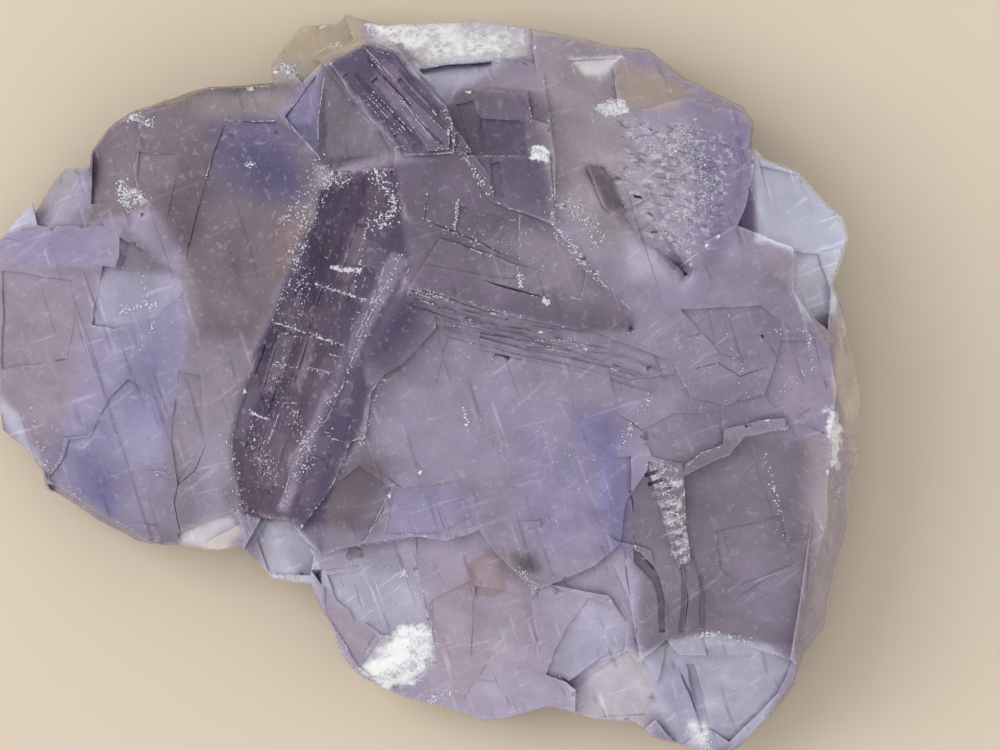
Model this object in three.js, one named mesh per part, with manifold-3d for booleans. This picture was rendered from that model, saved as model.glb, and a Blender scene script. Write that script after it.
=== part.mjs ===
// Fluorite crystal: violet, see-through cubes grown into one another, broken off their rock.
//
// Plan positions are [x, y] in mm: x from the left, y from the back towards the front.
// Heights are in mm above the flat base. The finished piece is centred on the Z axis, with +Z up.
import * as THREE from 'three';
import { mergeVertices } from 'three/addons/utils/BufferGeometryUtils.js';
import Module from 'manifold-3d';

const wasm = await Module();
wasm.setup();

// Overall size of the piece, and where its left and back ends lie in plan.
const LENGTH = 87.5;
const DEPTH = 75.1;
const LEFT_END = -1.2;
const BACK_END = 1.1;
const MIDDLE_X = LEFT_END + LENGTH / 2;
const MIDDLE_Y = BACK_END + DEPTH / 2;

// The flat base, the widest level above it, and a level above everything.
const BASE_SHARE = 0.84;
const BASE_WAVE = 0.035;
const BELLY_HEIGHT = 4.6;
const BELLY_WAVE = 1.2;
const ROOT_HEIGHT = 6.4;
const SKY_HEIGHT = 40;
const SKY_SHARE = 0.95;

// How far a block may stand aside from its drawn place.
const HAIR = 0.04;

// The steep left wall of the main cube falls in bands, each a small ledge below the one before.
const WALL_BANDS = 6;
const WALL_LEDGE = 0.45;

// How far a band of the wall reaches under the one above it, as a share of its width.
const BAND_OVERLAP = 0.05;

// Fine growth terraces: how many, how high each is, how far apart their edges lie, how far they
// are set back to the left as a share of their reach, and how far their wavy edges swing.
const RIDGE_TERRACES = 4;
const RIDGE_TERRACE_RISE = 0.34;
const RIDGE_TERRACE_WIDTH = 0.75;
const RIDGE_SETBACK = 0.2;
const RIDGE_NEAR = 0.75;
const RIDGE_FAR = 1.05;

// How far single steps rise above the face beside them, or drop below it.
const INNER_RISE = 0.5;
const WEDGE_DROP = 0.45;
const CUBE_STEP = 0.4;
const LOBE_STEP = 0.4;
const SIDE_STEP = 0.3;
const RIDGE_RISE = 1.2;
const PANEL_DROP = 0.1;

// How far the sides of a block spread out below, as a share of its half width.
const CUBE_FLARE = 0.5;
const WIDE_FLARE = 0.8;

// The plan outline of the whole piece, clockwise from its left end.
const OUTLINE = [
  [-0.8, 24.5], [2.5, 20.5], [6.2, 16.8], [8.6, 16.6], [8.8, 15.0], [10.5, 12.7], [12.8, 11.1],
  [17.6, 9.5], [20.7, 8.6], [27.1, 8.1], [27.0, 6.2], [30.0, 2.2], [33.5, 2.2], [34.5, 1.1],
  [38.5, 2.4], [43.0, 2.0], [48.0, 1.8], [53.0, 2.5], [61.0, 4.3], [65.0, 4.8], [68.4, 7.5],
  [74.5, 10.5], [75.6, 12.2], [75.3, 14.4], [76.7, 15.7], [80.0, 17.0], [81.6, 19.0], [84.5, 21.6],
  [85.1, 23.8], [83.5, 28.5], [84.6, 31.0], [86.3, 40.1], [86.3, 44.2], [85.0, 52.0], [83.1, 59.8],
  [82.5, 63.0], [80.5, 65.5], [79.7, 68.5], [77.8, 71.2], [74.1, 75.0], [71.5, 76.2], [69.0, 75.0],
  [65.4, 73.9], [63.7, 72.5], [59.0, 72.0], [55.1, 70.9], [50.4, 72.1], [48.2, 72.3], [43.9, 70.8],
  [40.8, 70.1], [36.2, 68.1], [34.1, 65.9], [33.2, 63.3], [30.9, 58.6], [27.2, 58.0], [24.0, 54.7],
  [21.6, 55.1], [17.9, 55.2], [13.6, 54.1], [8.3, 51.4], [4.3, 48.9], [4.0, 47.4], [1.7, 44.6],
  [0, 43.0], [-1.2, 35.0], [-1.0, 29.0],
];

// A height field through three [x, y, height] points.
function plane(a, b, c) {
  const [ux, uy, uz] = b.map((value, i) => value - a[i]);
  const [vx, vy, vz] = c.map((value, i) => value - a[i]);
  const spread = ux * vy - uy * vx;
  const slopeX = (uz * vy - uy * vz) / spread;
  const slopeY = (ux * vz - uz * vx) / spread;
  return { slopeX, slopeY, start: a[2] - slopeX * a[0] - slopeY * a[1] };
}

function raised(field, rise) {
  return { ...field, start: field.start + rise };
}

function heightAt(field, x, y) {
  return field.start + field.slopeX * x + field.slopeY * y;
}

function between(a, b, share) {
  return a.map((value, i) => value + (b[i] - value) * share);
}

function solidOf(geometry) {
  geometry.deleteAttribute('normal');
  geometry.deleteAttribute('uv');
  const merged = mergeVertices(geometry, 1e-5);
  const mesh = new wasm.Mesh({
    numProp: 3,
    vertProperties: new Float32Array(merged.attributes.position.array),
    triVerts: new Uint32Array(merged.index.array),
  });
  return new wasm.Manifold(mesh);
}

// Extrudes a plan outline in unit steps, then moves every point: place(x, y, step) gives its new
// plan position and height.
function extruded(outline, steps, place) {
  const corners = outline.map(([x, y]) => new THREE.Vector2(x, -y));
  const geometry = new THREE.ExtrudeGeometry(new THREE.Shape(corners), {
    depth: steps,
    steps,
    bevelEnabled: false,
  });
  const position = geometry.attributes.position;
  for (let i = 0; i < position.count; i += 1) {
    const step = Math.round(position.getZ(i));
    const [x, y, z] = place(position.getX(i), -position.getY(i), step);
    position.setXYZ(i, x - MIDDLE_X, MIDDLE_Y - y, z);
  }
  return solidOf(geometry);
}

// A block of crystal under a sloping top, down to the base. Its sides are upright, or spread out
// below by the share that flare gives. Each block stands a hair aside, so that the sides of
// neighbours cross or stay apart, and never lie in one another.
let blocksMade = 0;
function block(outline, top, flare = 0) {
  blocksMade += 1;
  const asideX = HAIR * Math.sin(blocksMade);
  const asideY = HAIR * Math.cos(2.3 * blocksMade);
  const centre = [0, 1].map((axis) => outline.reduce((sum, p) => sum + p[axis], 0) / outline.length);
  return extruded(outline, 1, (x, y, step) => {
    if (step === 1) {
      return [x + asideX, y + asideY, heightAt(top, x, y)];
    }
    const [footX, footY] = between(centre, [x, y], 1 + flare);
    return [footX + asideX, footY + asideY, 0];
  });
}

// The space over an outline from a sloping floor upwards, which is cut away from a block.
function notch(outline, floor) {
  return extruded(outline, 1, (x, y, step) => [x, y, step === 1 ? SKY_HEIGHT : heightAt(floor, x, y)]);
}

// What bounds the piece all round: in to the flat base below, slightly in towards the top.
function envelope() {
  return extruded(OUTLINE, 2, (x, y, step) => {
    const around = Math.atan2(y - MIDDLE_Y, x - MIDDLE_X);
    if (step === 1) {
      return [x, y, BELLY_HEIGHT + BELLY_WAVE * Math.sin(3 * around + 1) * Math.cos(5 * around)];
    }
    const share = step === 0 ? BASE_SHARE + BASE_WAVE * Math.sin(7 * around) : SKY_SHARE;
    const [newX, newY] = between([MIDDLE_X, MIDDLE_Y], [x, y], share);
    return [newX, newY, step === 0 ? 0 : SKY_HEIGHT];
  });
}

// The large face of the main cube, which slopes gently to the front.
const MAIN_FACE = plane([40, 30, 27], [62, 35, 25.5], [33, 54, 21]);
const PLATEAU = plane([42, 16, 30.5], [60, 28, 28.6], [42, 29, 28.2]);
const LEFT_LOBE = plane([19, 30, 13.5], [-1, 33, 7.5], [9, 51, 8.5]);

// The crest of the main cube, above its left wall.
const CREST_BACK = [39.5, 17];
const CREST_FRONT = [28.4, 52];

// Where along the crest, from the back, the plateau ends and the main face begins.
const PLATEAU_SHARE = 0.27;
const FACE_SHARE = 0.25;

// The line where the main face turns into the faces right of it.
const FOLD_X = 64.5;
const FOLD_BACK = [FOLD_X, 34, heightAt(MAIN_FACE, FOLD_X, 34)];
const FOLD_FRONT = [FOLD_X, 46, heightAt(MAIN_FACE, FOLD_X, 46)];

function mainCube() {
  const outline = [
    [38, 26], [60, 32], [64.6, 33], [64.6, 47], [62.5, 50], [62, 54.4],
    [59.5, 56.5], [54, 58.9], [52, 57.7], [49.7, 55.4], [48, 52.9], [44.7, 54], [41.6, 53.7],
    [37.8, 54.3], [34.9, 54.6], [32.2, 55.4], CREST_FRONT, between(CREST_FRONT, CREST_BACK, 1 - FACE_SHARE),
  ];
  // A split-off wedge at the front left corner lies a little lower than the face.
  const wedge = [
    [39.2, 48.7], [36.7, 53.8], [35, 55.5], [31.5, 56.5], [28.6, 52.4], [33.2, 48.7], [36, 46.5],
  ];
  const inner = [
    [41, 26.8], [43.7, 29.5], [43.5, 33], [40, 36.5], [38.4, 37.4], [37.1, 39.2], [36.5, 43.8],
    [35.2, 44], [33.2, 48.7], [30, 53], CREST_FRONT, between(CREST_FRONT, CREST_BACK, 1 - FACE_SHARE),
  ];
  return [
    block(outline, MAIN_FACE).subtract(notch(wedge, raised(MAIN_FACE, -WEDGE_DROP))),
    block(inner, raised(MAIN_FACE, INNER_RISE)),
  ];
}

// The wall left of the main cube falls from the crest to its foot in bands with small ledges.
function steppedWall() {
  const foot = [[33.2, 17], [30, 25.4], [26.9, 32.5], [25, 37], [23.7, 41], [23.1, 45], [23.8, 51.2]];
  const crest = foot.map((point, i) => between(CREST_BACK, CREST_FRONT, i / (foot.length - 1)));
  const crestHeights = [30.7, 22];
  const footHeights = [19.6, 10.9];
  const blocks = [];
  for (let band = 0; band < WALL_BANDS; band += 1) {
    const upper = crest.map((point, i) => between(point, foot[i], (band - BAND_OVERLAP) / WALL_BANDS));
    const lower = crest.map((point, i) => between(point, foot[i], (band + 1) / WALL_BANDS));
    const [back, front] = between(crestHeights, footHeights, band / WALL_BANDS);
    const [nextBack, nextFront] = between(crestHeights, footHeights, (band + 1) / WALL_BANDS);
    const top = plane(
      [...upper[0], back],
      [...upper.at(-1), front],
      [...lower[3], (nextBack + nextFront) / 2 + WALL_LEDGE],
    );
    blocks.push(block([...lower, ...upper.reverse()], top));
  }
  return blocks;
}

function plateau() {
  const outline = [
    [39.5, 15], [45.5, 13], [49, 18], [56, 21], [59, 27.1], [64, 32], [60, 33.5], [52.4, 31.9],
    [48, 30.9], [44.5, 29.7], [41, 28.5], [38.2, 27.2], between(CREST_BACK, CREST_FRONT, PLATEAU_SHARE),
    CREST_BACK,
  ];
  const blocks = [block(outline, PLATEAU)];
  // Growth terraces run along the ridge between the plateau and the main face.
  const ridge = [[41, 28.3], [44.5, 29.5], [48, 30.6], [52.4, 31.6], [58, 32.4], [63, 33.4]];
  for (let step = 1; step <= RIDGE_TERRACES; step += 1) {
    const reach = (RIDGE_TERRACES + 1 - step) * RIDGE_TERRACE_WIDTH;
    const edge = ridge.map(([x, y], i) => {
      const swing = i % 2 === 0 ? RIDGE_NEAR : RIDGE_FAR;
      return [x - reach * RIDGE_SETBACK, y + reach * swing];
    });
    const back = [[62, 30], [44, 24]];
    blocks.push(block([...edge, ...back], raised(MAIN_FACE, step * RIDGE_TERRACE_RISE)));
  }
  return blocks;
}

function darkCubes() {
  const tilted = [
    [33.1, 6.5], [36.7, 4.6], [38.2, 4.7], [39.8, 5.5], [44.7, 10.9], [45.5, 13.4], [45.3, 15.5],
    [40.5, 15.7], [35.9, 10.7],
  ];
  const tiltedTop = plane([34, 6, 24.5], [45, 14, 31.5], [39.5, 14.5, 30]);
  const second = [
    [45.9, 9.2], [52.6, 9.6], [53.2, 12.2], [54.9, 12.8], [55.5, 16.1], [55.4, 22.6], [49.1, 20.3],
    [45.7, 16.5], [44.4, 10.7],
  ];
  const secondTop = plane([46, 9.5, 27.5], [55, 13, 29.3], [52, 21, 30.9]);
  const secondStep = [[46.6, 16.2], [47, 15.8], [55, 15.8], [55.4, 22.6], [49.1, 20.3]];
  return [
    block(tilted, tiltedTop, CUBE_FLARE),
    block([[36.5, 4.9], [39.4, 5.7], [44.9, 13.4], [44.9, 15.2], [42.8, 15.3]],
      raised(tiltedTop, CUBE_STEP)),
    block(second, secondTop, CUBE_FLARE),
    block(secondStep, raised(secondTop, CUBE_STEP), CUBE_FLARE),
    // The pale three-cornered faces left of the tilted cube.
    block([[32.5, 6.3], [34.8, 9], [40, 15], [39.6, 17], [33, 17.4], [32, 15.6], [32, 8]],
      plane([32.5, 7, 18], [32, 15.5, 20], [39, 15, 28])),
    block([[27.5, 10.8], [32.6, 5.8], [33, 8], [33.6, 18.4], [31.8, 18]],
      plane([27.9, 11.3, 14.5], [32.5, 6.3, 17], [32.1, 15.9, 19.8])),
  ];
}

function backRim() {
  return [
    // Frosted piece, and the wedge between it and the dark cubes.
    block([[34, 0], [38.5, 1], [48, 0.5], [56, 1.5], [56, 6], [51, 8.5], [44.6, 10.7], [36, 6]],
      plane([38, 3, 14], [53, 3, 12.5], [45, 10, 20])),
    block([[41, 6.1], [54, 6.3], [55, 12.4], [46, 12], [43, 12]],
      plane([41.7, 6.1, 18], [50.7, 6.5, 18.5], [44.6, 10.7, 23])),
    // Thin clear corners.
    block([[26, 9], [26, 6], [29.5, 1], [34, 1.5], [34.2, 0], [36.3, 0.5], [36.3, 7], [33, 9], [29, 11]],
      plane([28, 6, 9.5], [33, 2.5, 8.5], [33, 8, 13])),
  ];
}

function upperRight() {
  // A smooth swelling face: it rises from the back, then falls gently to the front.
  const smooth = [
    [53.2, 1], [61, 2.5], [62.6, 11.5], [61.1, 18.3], [63.9, 23.2], [68.9, 27.2], [67, 31], [64, 32],
    [59, 27.1], [55.4, 22.6], [54, 14],
  ];
  const rising = plane([54, 4, 16.5], [66, 7, 15.5], [60, 20, 28.5]);
  const falling = plane([60, 20, 29.4], [64.5, 32, 26.4], [69, 27, 26.2]);
  return [
    block(smooth, rising).intersect(block(smooth, falling)),
    // The cube corner at the right.
    block([[62.6, 11.5], [68.6, 10], [75.4, 11.8], [75.6, 12.4], [75.2, 17.6], [74.6, 20.6],
      [73, 24], [68.9, 27.2], [63.9, 23.2], [61.1, 18.3]],
    plane([64, 12, 22.2], [75, 13, 20.8], [69, 26, 26.8])),
    // A fringe that thins out towards the back.
    block([[60.5, 1], [66, 3.5], [73, 8], [76.5, 11], [75.6, 12.6], [68.6, 10.4], [62, 12.4]],
      plane([61, 4, 14], [72, 9, 13], [66, 10.4, 18.5])),
    // A split wedge in the smooth face.
    block([[58.6, 16.8], [60, 17], [62.3, 21.4], [61.6, 22], [60.2, 21]],
      plane([58.6, 17, 27.2], [62, 21.5, 29.4], [60.2, 21, 29.6])),
  ];
}

function rightSide() {
  const side = plane(FOLD_BACK, FOLD_FRONT, [80, 36, 21.6]);
  return [
    // The pale low plate.
    block([[73.5, 12.8], [77, 14.5], [81, 16], [86.5, 22], [85.5, 28], [84, 36], [80, 32], [73.5, 26]],
      plane([76, 16, 14], [84.5, 23, 10.5], [82, 32, 12.5])),
    // The faces right of the main cube, with a slightly raised panel.
    block([[61, 31], [67, 30.5], [68.9, 27.2], [70.8, 24], [73.4, 22.6], [75.7, 23.4], [79.2, 24.7],
      [79.3, 29.1], [80.7, 31.4], [82.8, 34.6], [83.6, 39], [83, 44], [80.2, 43.2], [78.2, 42], [74.1, 42.8],
      [72.1, 44.6], [68.5, 46.7], [FOLD_X, 46], [FOLD_X, 34]],
    side),
    block([[67, 34.5], [71, 33.2], [76, 33.6], [77.7, 36], [76.4, 39.4], [72.6, 40.6], [69, 39.8],
      [67.6, 37.4]],
    raised(side, SIDE_STEP)),
    block([[73.2, 24.5], [75.7, 24.3], [79, 24.9], [79.1, 29], [76.4, 30.6], [73, 28.8]],
      plane([74, 25, 24.9], [79, 25, 23.4], [75, 30, 24.3])),
    // The thin brown side that faces right, in two facets.
    block([[82.4, 34.4], [82.8, 28.2], [88, 30], [88, 45], [82, 45]],
      plane([84, 29, 10.5], [86.3, 44, 9], [82, 45, 18.3])),
    block([[82, 44], [88, 44], [88, 46], [86, 56], [84, 64], [81, 68], [79, 66], [80, 60], [81, 52]],
      plane([82, 45, 18.3], [86.3, 44, 9], [81, 60, 15.5])),
  ];
}

function frontRightCrystal() {
  const face = plane([68, 48, 20.3], [82, 48, 18.7], [70, 62, 17.2]);
  const outline = [
    [61.4, 50], [64.5, 45.8], [68.5, 46.7], [72.1, 44.6], [72.5, 42.9], [78.2, 42], [80.2, 42.6],
    [83, 43.6], [82.6, 52], [80.6, 60], [79, 66], [73.2, 64], [70.1, 63.1], [66.7, 64],
    [64.1, 66], [62.9, 60], [61.2, 56],
  ];
  const ridge = [
    [68.2, 47.6], [68.4, 46.3], [70.1, 45], [72.2, 44.4], [72.4, 42.9], [75.9, 42], [78.3, 41.8],
    [78.4, 42.9], [74.4, 43.6], [73, 45.4],
  ];
  const ladder = [[64.4, 45.6], [68.2, 46.4], [68.4, 50], [69, 56.2], [67.8, 56.8], [66.2, 51.5]];
  const panel = [[66.8, 58.4], [69.2, 57.2], [78.4, 57], [79.6, 60], [78, 65.5], [66.6, 65.5]];
  return [
    block(outline, face),
    block(ridge, raised(face, RIDGE_RISE), WIDE_FLARE),
    block(ladder, plane([64.6, 46, 22.2], [68.4, 50, 20.9], [68.5, 56.5, 19]), WIDE_FLARE),
    block(panel, raised(face, -PANEL_DROP)),
  ];
}

function frontFractures() {
  return [
    block([[22, 50.5], [27.3, 50.5], [31.2, 52.4], [33.5, 55], [33.5, 60], [29, 60], [25, 58], [22, 55.5]],
      plane([24.5, 52, 9.8], [31.5, 54, 14.3], [28.5, 58, 8])),
    block([[31, 53], [41.6, 52.7], [41.6, 58], [42.8, 61.5], [42.6, 67], [36, 68], [32, 67], [30, 58]],
      plane([33, 56, 15.5], [41.5, 56, 17.5], [37, 66, 9.5])),
    block([[34, 66.2], [43, 66.2], [43, 72], [36, 71]],
      plane([38, 66.2, 9.3], [42, 66.2, 10.3], [38.5, 69.5, 5.6])),
    block([[41, 52], [54, 52], [54.6, 60], [54.2, 66], [57.6, 69], [57.6, 74], [42, 74], [40, 69],
      [42.2, 62], [40.6, 58]],
      plane([46, 54.5, 18.8], [54, 60, 16.5], [46, 70, 8.8])),
    block([[53, 58], [60.8, 59.6], [62.6, 62.2], [62.8, 64.1], [59.9, 65.9], [56.8, 68.2], [53.8, 66]],
      plane([55, 61, 17.4], [62, 63, 15.7], [57, 68, 11.3])),
    block([[53, 57], [60, 53.6], [65, 55], [66.6, 63.2], [64.1, 66.4], [60, 63]],
      plane([56, 58.8, 18.4], [63, 56, 19.3], [64, 64, 15.4])),
    block([[55.6, 67.2], [60, 65], [63.2, 63.8], [66, 68.5], [67.6, 71], [66, 74.5], [56.4, 73]],
      plane([60, 66.5, 12], [64, 66, 14], [62, 72, 7.5])),
    block([[63.6, 65.2], [66.7, 63.6], [70.1, 62.8], [77, 64.2], [82, 66], [80, 73], [73, 78], [68, 77],
      [64, 73.5], [67.1, 70.9], [65.9, 68.5]],
    plane([66, 65, 15.8], [78, 66, 14], [70, 75, 7.4])),
  ];
}

function leftLobe() {
  const step = [
    [11.8, 38.8], [8.6, 43.6], [6.1, 43.9], [4.5, 48.1], [8.3, 55], [17.9, 57], [19, 46], [19, 33],
    [14, 33],
  ];
  return [
    block([[-3, 23], [9.6, 26], [18.3, 27], [19.4, 36], [19.4, 44], [17.4, 50], [14, 57], [6, 54], [-3, 46]],
      LEFT_LOBE),
    block(step, raised(LEFT_LOBE, LOBE_STEP)),
    block([[9.6, 26.3], [18.5, 27.5], [18.5, 28.9], [15.3, 31.4], [11.2, 33.2], [9.6, 33.3]],
      plane([9.6, 26.5, 12], [18.3, 27.7, 14.6], [11.2, 33.2, 11.6])),
    block([[-3, 24], [4.8, 22.6], [11.8, 22.4], [11.9, 27], [-3, 26.2]],
      plane([10, 24, 12.5], [0, 25, 8.6], [5, 22.8, 9.8])),
    block([[0, 20], [4.2, 16.6], [9, 15.4], [9.6, 19], [10.8, 22.8], [8, 24], [4.8, 23.2], [-1.5, 24.2]],
      plane([8.6, 18, 10.8], [3, 21, 7.8], [9, 23, 10.9])),
    block([[11.4, 21.5], [18.2, 26.8], [18.2, 28], [10.4, 27.4]],
      plane([12.1, 22.6, 12.4], [17.7, 27.1, 15], [12.1, 27.1, 13.2])),
    // The smooth band that runs along the foot of the wall.
    block([[15.6, 27], [17, 25.5], [26, 24], [29, 27], [29, 34], [27, 44], [26, 52], [23, 57], [15.4, 57],
      [15.8, 40]],
    plane([19, 28, 15.2], [25, 28, 17], [20, 52, 10.4])),
  ];
}

function upperLeft() {
  return [
    block([[7.5, 15], [11, 11], [17, 8.5], [18, 26], [14, 25], [10.5, 22.8], [8, 18]],
      plane([9, 17, 10.2], [15, 12, 12.6], [14, 22, 14])),
    block([[12, 9.5], [20, 7], [29, 7], [33, 11], [33, 22], [26, 28], [17, 27], [14, 21]],
      plane([17, 10, 12.8], [27, 9, 14.3], [22, 26, 16.6])),
    // An inner cube's face stands proud of the rounded mass.
    block([[22.3, 11.8], [27.6, 12.1], [31.9, 14.7], [33, 18], [31, 25], [27.5, 31], [22, 31],
      [18.5, 26], [21.2, 15.6]],
    plane([22.5, 12, 15], [31, 14, 17.4], [22, 28, 17])),
  ];
}

// Fills what lies under the faces, so that no gap is left between neighbours.
function heart() {
  const inner = [
    [12, 14], [30, 10], [60, 9], [74, 16], [79, 30], [79, 60], [66, 66], [40, 64], [26, 52], [10, 46],
  ];
  const wide = [[-5, -5], [90, -5], [90, 80], [-5, 80]];
  const level = plane([0, 0, ROOT_HEIGHT], [10, 0, ROOT_HEIGHT], [0, 10, ROOT_HEIGHT]);
  return block(inner, plane([10, 30, 7], [50, 30, 14], [50, 60, 10])).add(block(wide, level));
}

function crystal() {
  const parts = [
    heart(),
    ...leftLobe(),
    ...upperLeft(),
    ...backRim(),
    ...upperRight(),
    ...rightSide(),
    ...frontFractures(),
    ...frontRightCrystal(),
    ...steppedWall(),
    ...mainCube(),
    ...plateau(),
    ...darkCubes(),
  ];
  const grown = parts.reduce((whole, part) => whole.add(part));
  return grown.intersect(envelope());
}

function geometryOf(solid) {
  const mesh = solid.getMesh();
  const geometry = new THREE.BufferGeometry();
  const points = [];
  for (let i = 0; i < mesh.numVert; i += 1) {
    points.push(...mesh.vertProperties.slice(i * mesh.numProp, i * mesh.numProp + 3));
  }
  geometry.setAttribute('position', new THREE.Float32BufferAttribute(points, 3));
  geometry.setIndex(Array.from(mesh.triVerts));
  geometry.computeVertexNormals();
  return geometry;
}

const fluorite = new THREE.MeshStandardMaterial({ color: 0x8f859f, roughness: 0.25, metalness: 0 });
const fluoriteCrystal = new THREE.Mesh(geometryOf(crystal()), fluorite);
fluoriteCrystal.name = 'fluorite_crystal';

const group = new THREE.Group();
group.add(fluoriteCrystal);

export default group;
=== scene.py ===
"""The looks of the fluorite crystal: fine relief, colour zones with some painted shade and sheen, white
wear and painted sparkles, floor, light and camera.

Plan positions are [x, y] in mm as in the CAD source: x from the left, y from the back towards the
front. The camera looks straight down on them. Blender's own objects are in metres.
"""
import itertools
import math
import random

import bmesh
import bpy
import numpy as np
from mathutils import Matrix, Vector
from mathutils.bvhtree import BVHTree
from mathutils.geometry import tessellate_polygon


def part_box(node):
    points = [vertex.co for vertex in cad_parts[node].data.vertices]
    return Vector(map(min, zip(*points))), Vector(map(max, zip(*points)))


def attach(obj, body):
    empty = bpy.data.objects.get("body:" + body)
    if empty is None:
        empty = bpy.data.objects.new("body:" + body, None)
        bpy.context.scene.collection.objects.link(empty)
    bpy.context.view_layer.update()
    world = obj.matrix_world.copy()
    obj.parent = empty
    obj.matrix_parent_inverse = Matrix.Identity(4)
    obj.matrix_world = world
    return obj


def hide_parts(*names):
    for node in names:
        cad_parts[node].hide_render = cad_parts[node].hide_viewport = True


MM = 0.001

# The plan position above the middle of the part's base, in mm, and the size of what the camera sees.
MIDDLE = (42.55, 38.65)
VIEW_CENTRE = (50.0, 37.5)
VIEW_WIDTH = 100.0

# The camera, in metres: how far it is from the level that it is set for, how high that level is, how
# far it sees, and the width of its sensor in mm.
VIEW_DISTANCE = 1.6
VIEW_LEVEL = 0.016
VIEW_END = 10
SENSOR = 36

# The floor, the room's even light, and a softbox at the upper left, in metres and watts.
FLOOR_SIZE = 8
FLOOR_GAP = 0.00002
FLOOR_ROUGHNESS = 0.7
ROOM_COLOUR = (0.97, 0.98, 1.0, 1)
ROOM_LIGHT = 0.88
SOFTBOX_SIZE = 0.9
SOFTBOX_POWER = 8
SOFTBOX_PLACE = (-0.85, 0.25, 1.0)

# Longest edges of the fine mesh, in mm: on smooth faces, in rich relief, below and under the piece.
SMOOTH_EDGE = 0.95
RICH_EDGE = 0.55
SIDE_EDGE = 1.7
UNDER_EDGE = 5.0

# The planes along which the faces are first cut: how far apart they lie in plan and in height, in mm,
# and where the first lies, as a share of that. Faces that meet within FLAT_ANGLE are merged before.
PLAN_CUT = 1.25
LEVEL_CUT = 2.0
FIRST_CUT = 0.61
FLAT_ANGLE = math.radians(0.2)

# The shortest edge that is kept after carving, in mm.
SLIVER = 0.05

# The grid on which plan fields are drawn: distance between its points, first point and count, in mm.
GRID = 0.1
GRID_START = np.array((-3.0, -1.0))
GRID_SIZE = (800, 930)

# Heights in mm: the foot, which stays flat, and where the relief of the top has faded in.
FOOT_HEIGHT = 0.05
RELIEF_START = 1.5
RELIEF_FULL = 5.0
SKY_HEIGHT = 34.0

# How steep a face is where the relief of the sides fades in and is full: 0 is level, 1 upright.
SIDE_STEEPNESS = (0.5, 0.9)

# Where a face's corner takes its colour: towards the middle by a share, and below the face in mm.
CORNER_INSET = 0.15
CORNER_DEPTH = 0.35
DARKEST = 0.001

# The softness in mm of an outline that is to look crisp.
CRISP = 0.05

# Faces that meet at more than this angle keep a sharp edge.
CREASE_ANGLE = math.radians(24)

# How the crystal takes light: its index, how much frost takes from its clearness, its cloudy body, its
# clean breaks, how far light wanders in metres, and what is absorbed.
IOR = 1.434
FROST_DULLS = 0.8
BODY_TRANSMISSION = 0.25
BREAK_TRANSMISSION = 0.15
CLOUDINESS = 0.6
CLOUD_RADIUS = (0.9, 0.8, 1.0)
CLOUD_REACH = 0.002
ABSORBED = (0.62, 0.55, 0.78, 1)
ABSORPTION = 22

# The material slots of the crystal's mesh, which are also the slots of the solids that carve it.
FACE, FURROW, BREAK = 0, 1, 2

# How the noise is scrambled: a factor for each axis, one for the sum, and the step between seeds.
NOISE_FACTORS = np.array([73856093, 19349663, 83492791])
NOISE_MIX = 1274126177
SEED_STEP = 7.31

# Layers of the smallest relief: height and size of their bumps in mm, and their seed.
SWELL = (0.13, 8.0, 3)
RIPPLE = (0.035, 2.3, 5)
FROST_LUMPS = (0.22, 0.9, 11)
FROST_GRAINS = (0.1, 0.5, 12)
SWAYS = [((0.14, 3.6, 61), (0.03, 1.0, 66)), ((0.14, 3.6, 62), (0.03, 1.0, 67))]
SIDE_BUMPS = (0.22, 2.4, 71)

# Layers that let zones wander: how far and how finely in mm, and their seeds.
FROST_WANDER = [(0.35, 0.9, 21), (0.35, 0.9, 22)]
ZONE_WANDER = [(0.3, 2.4, 51), (0.3, 2.4, 52)]

# Faint growth bands: strength, how drawn out along and across the crest, size in mm, and seed.
GROWTH_BANDS = [
    (0.055, (1, 0.16), 1.3, 91),
    (0.033, (1, 0.2), 0.55, 92),
    (0.045, (0.16, 1), 1.6, 93),
]
GROWTH_CLOUD = (0.05, 5.0, 94)

# Softening of fused edges: how far a point moves towards its neighbours each time, and how often.
MELT_STEP = 0.6
MELT_ROUNDS = 14

# Directions in plan: the turn of the main cube's faces, and the lines along and across its crest.
CUBE_TURN = math.radians(-17.6)
OTHER_TURN = 0.9
ALONG_CREST = np.array([-0.302, 0.953])
ACROSS_CREST = np.array([0.953, 0.302])

# How many small things there are, for each that the lists and lines below name.
SPARKLE_SHARE = 2.6
DOTTED_SHARE = 0.65
PITS = 230
CHIPS = 220
RUNGS = 10
WALL_BANDS = 9
RIDGE_STEPS = 7


def linear(red, green, blue):
    """A colour as it looks on a screen, 0 to 255, in the shader's linear values."""
    return tuple(((value / 255 + 0.055) / 1.055) ** 2.4 for value in (red, green, blue))


LILAC = linear(160, 148, 171)
HAZE = linear(184, 173, 196)
MAUVE = linear(152, 140, 154)
DUSK = linear(134, 122, 137)
PLUM = linear(114, 100, 119)
VIOLET = linear(84, 70, 98)
INK = linear(56, 46, 78)
SHADE = linear(92, 81, 112)
BLUE = linear(112, 106, 152)
PERIWINKLE = linear(156, 150, 187)
SMOKE = linear(136, 124, 130)
UMBER = linear(108, 94, 102)
BEIGE = linear(190, 173, 157)
SAND = linear(216, 199, 174)
ROSE = linear(170, 151, 166)
ICE = linear(188, 187, 207)
FOG = linear(214, 215, 232)
PEARL = linear(204, 198, 210)
SNOW = linear(253, 253, 254)
RUST = linear(150, 112, 100)
# The white of frosted breaks, also used for the sparkles, which are painted highlights.
BREAK_AND_SPARKLE_DULL = linear(206, 202, 220)
BREAK_AND_SPARKLE_BRIGHT = linear(250, 250, 252)
FLOOR = linear(211, 196, 175)

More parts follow.
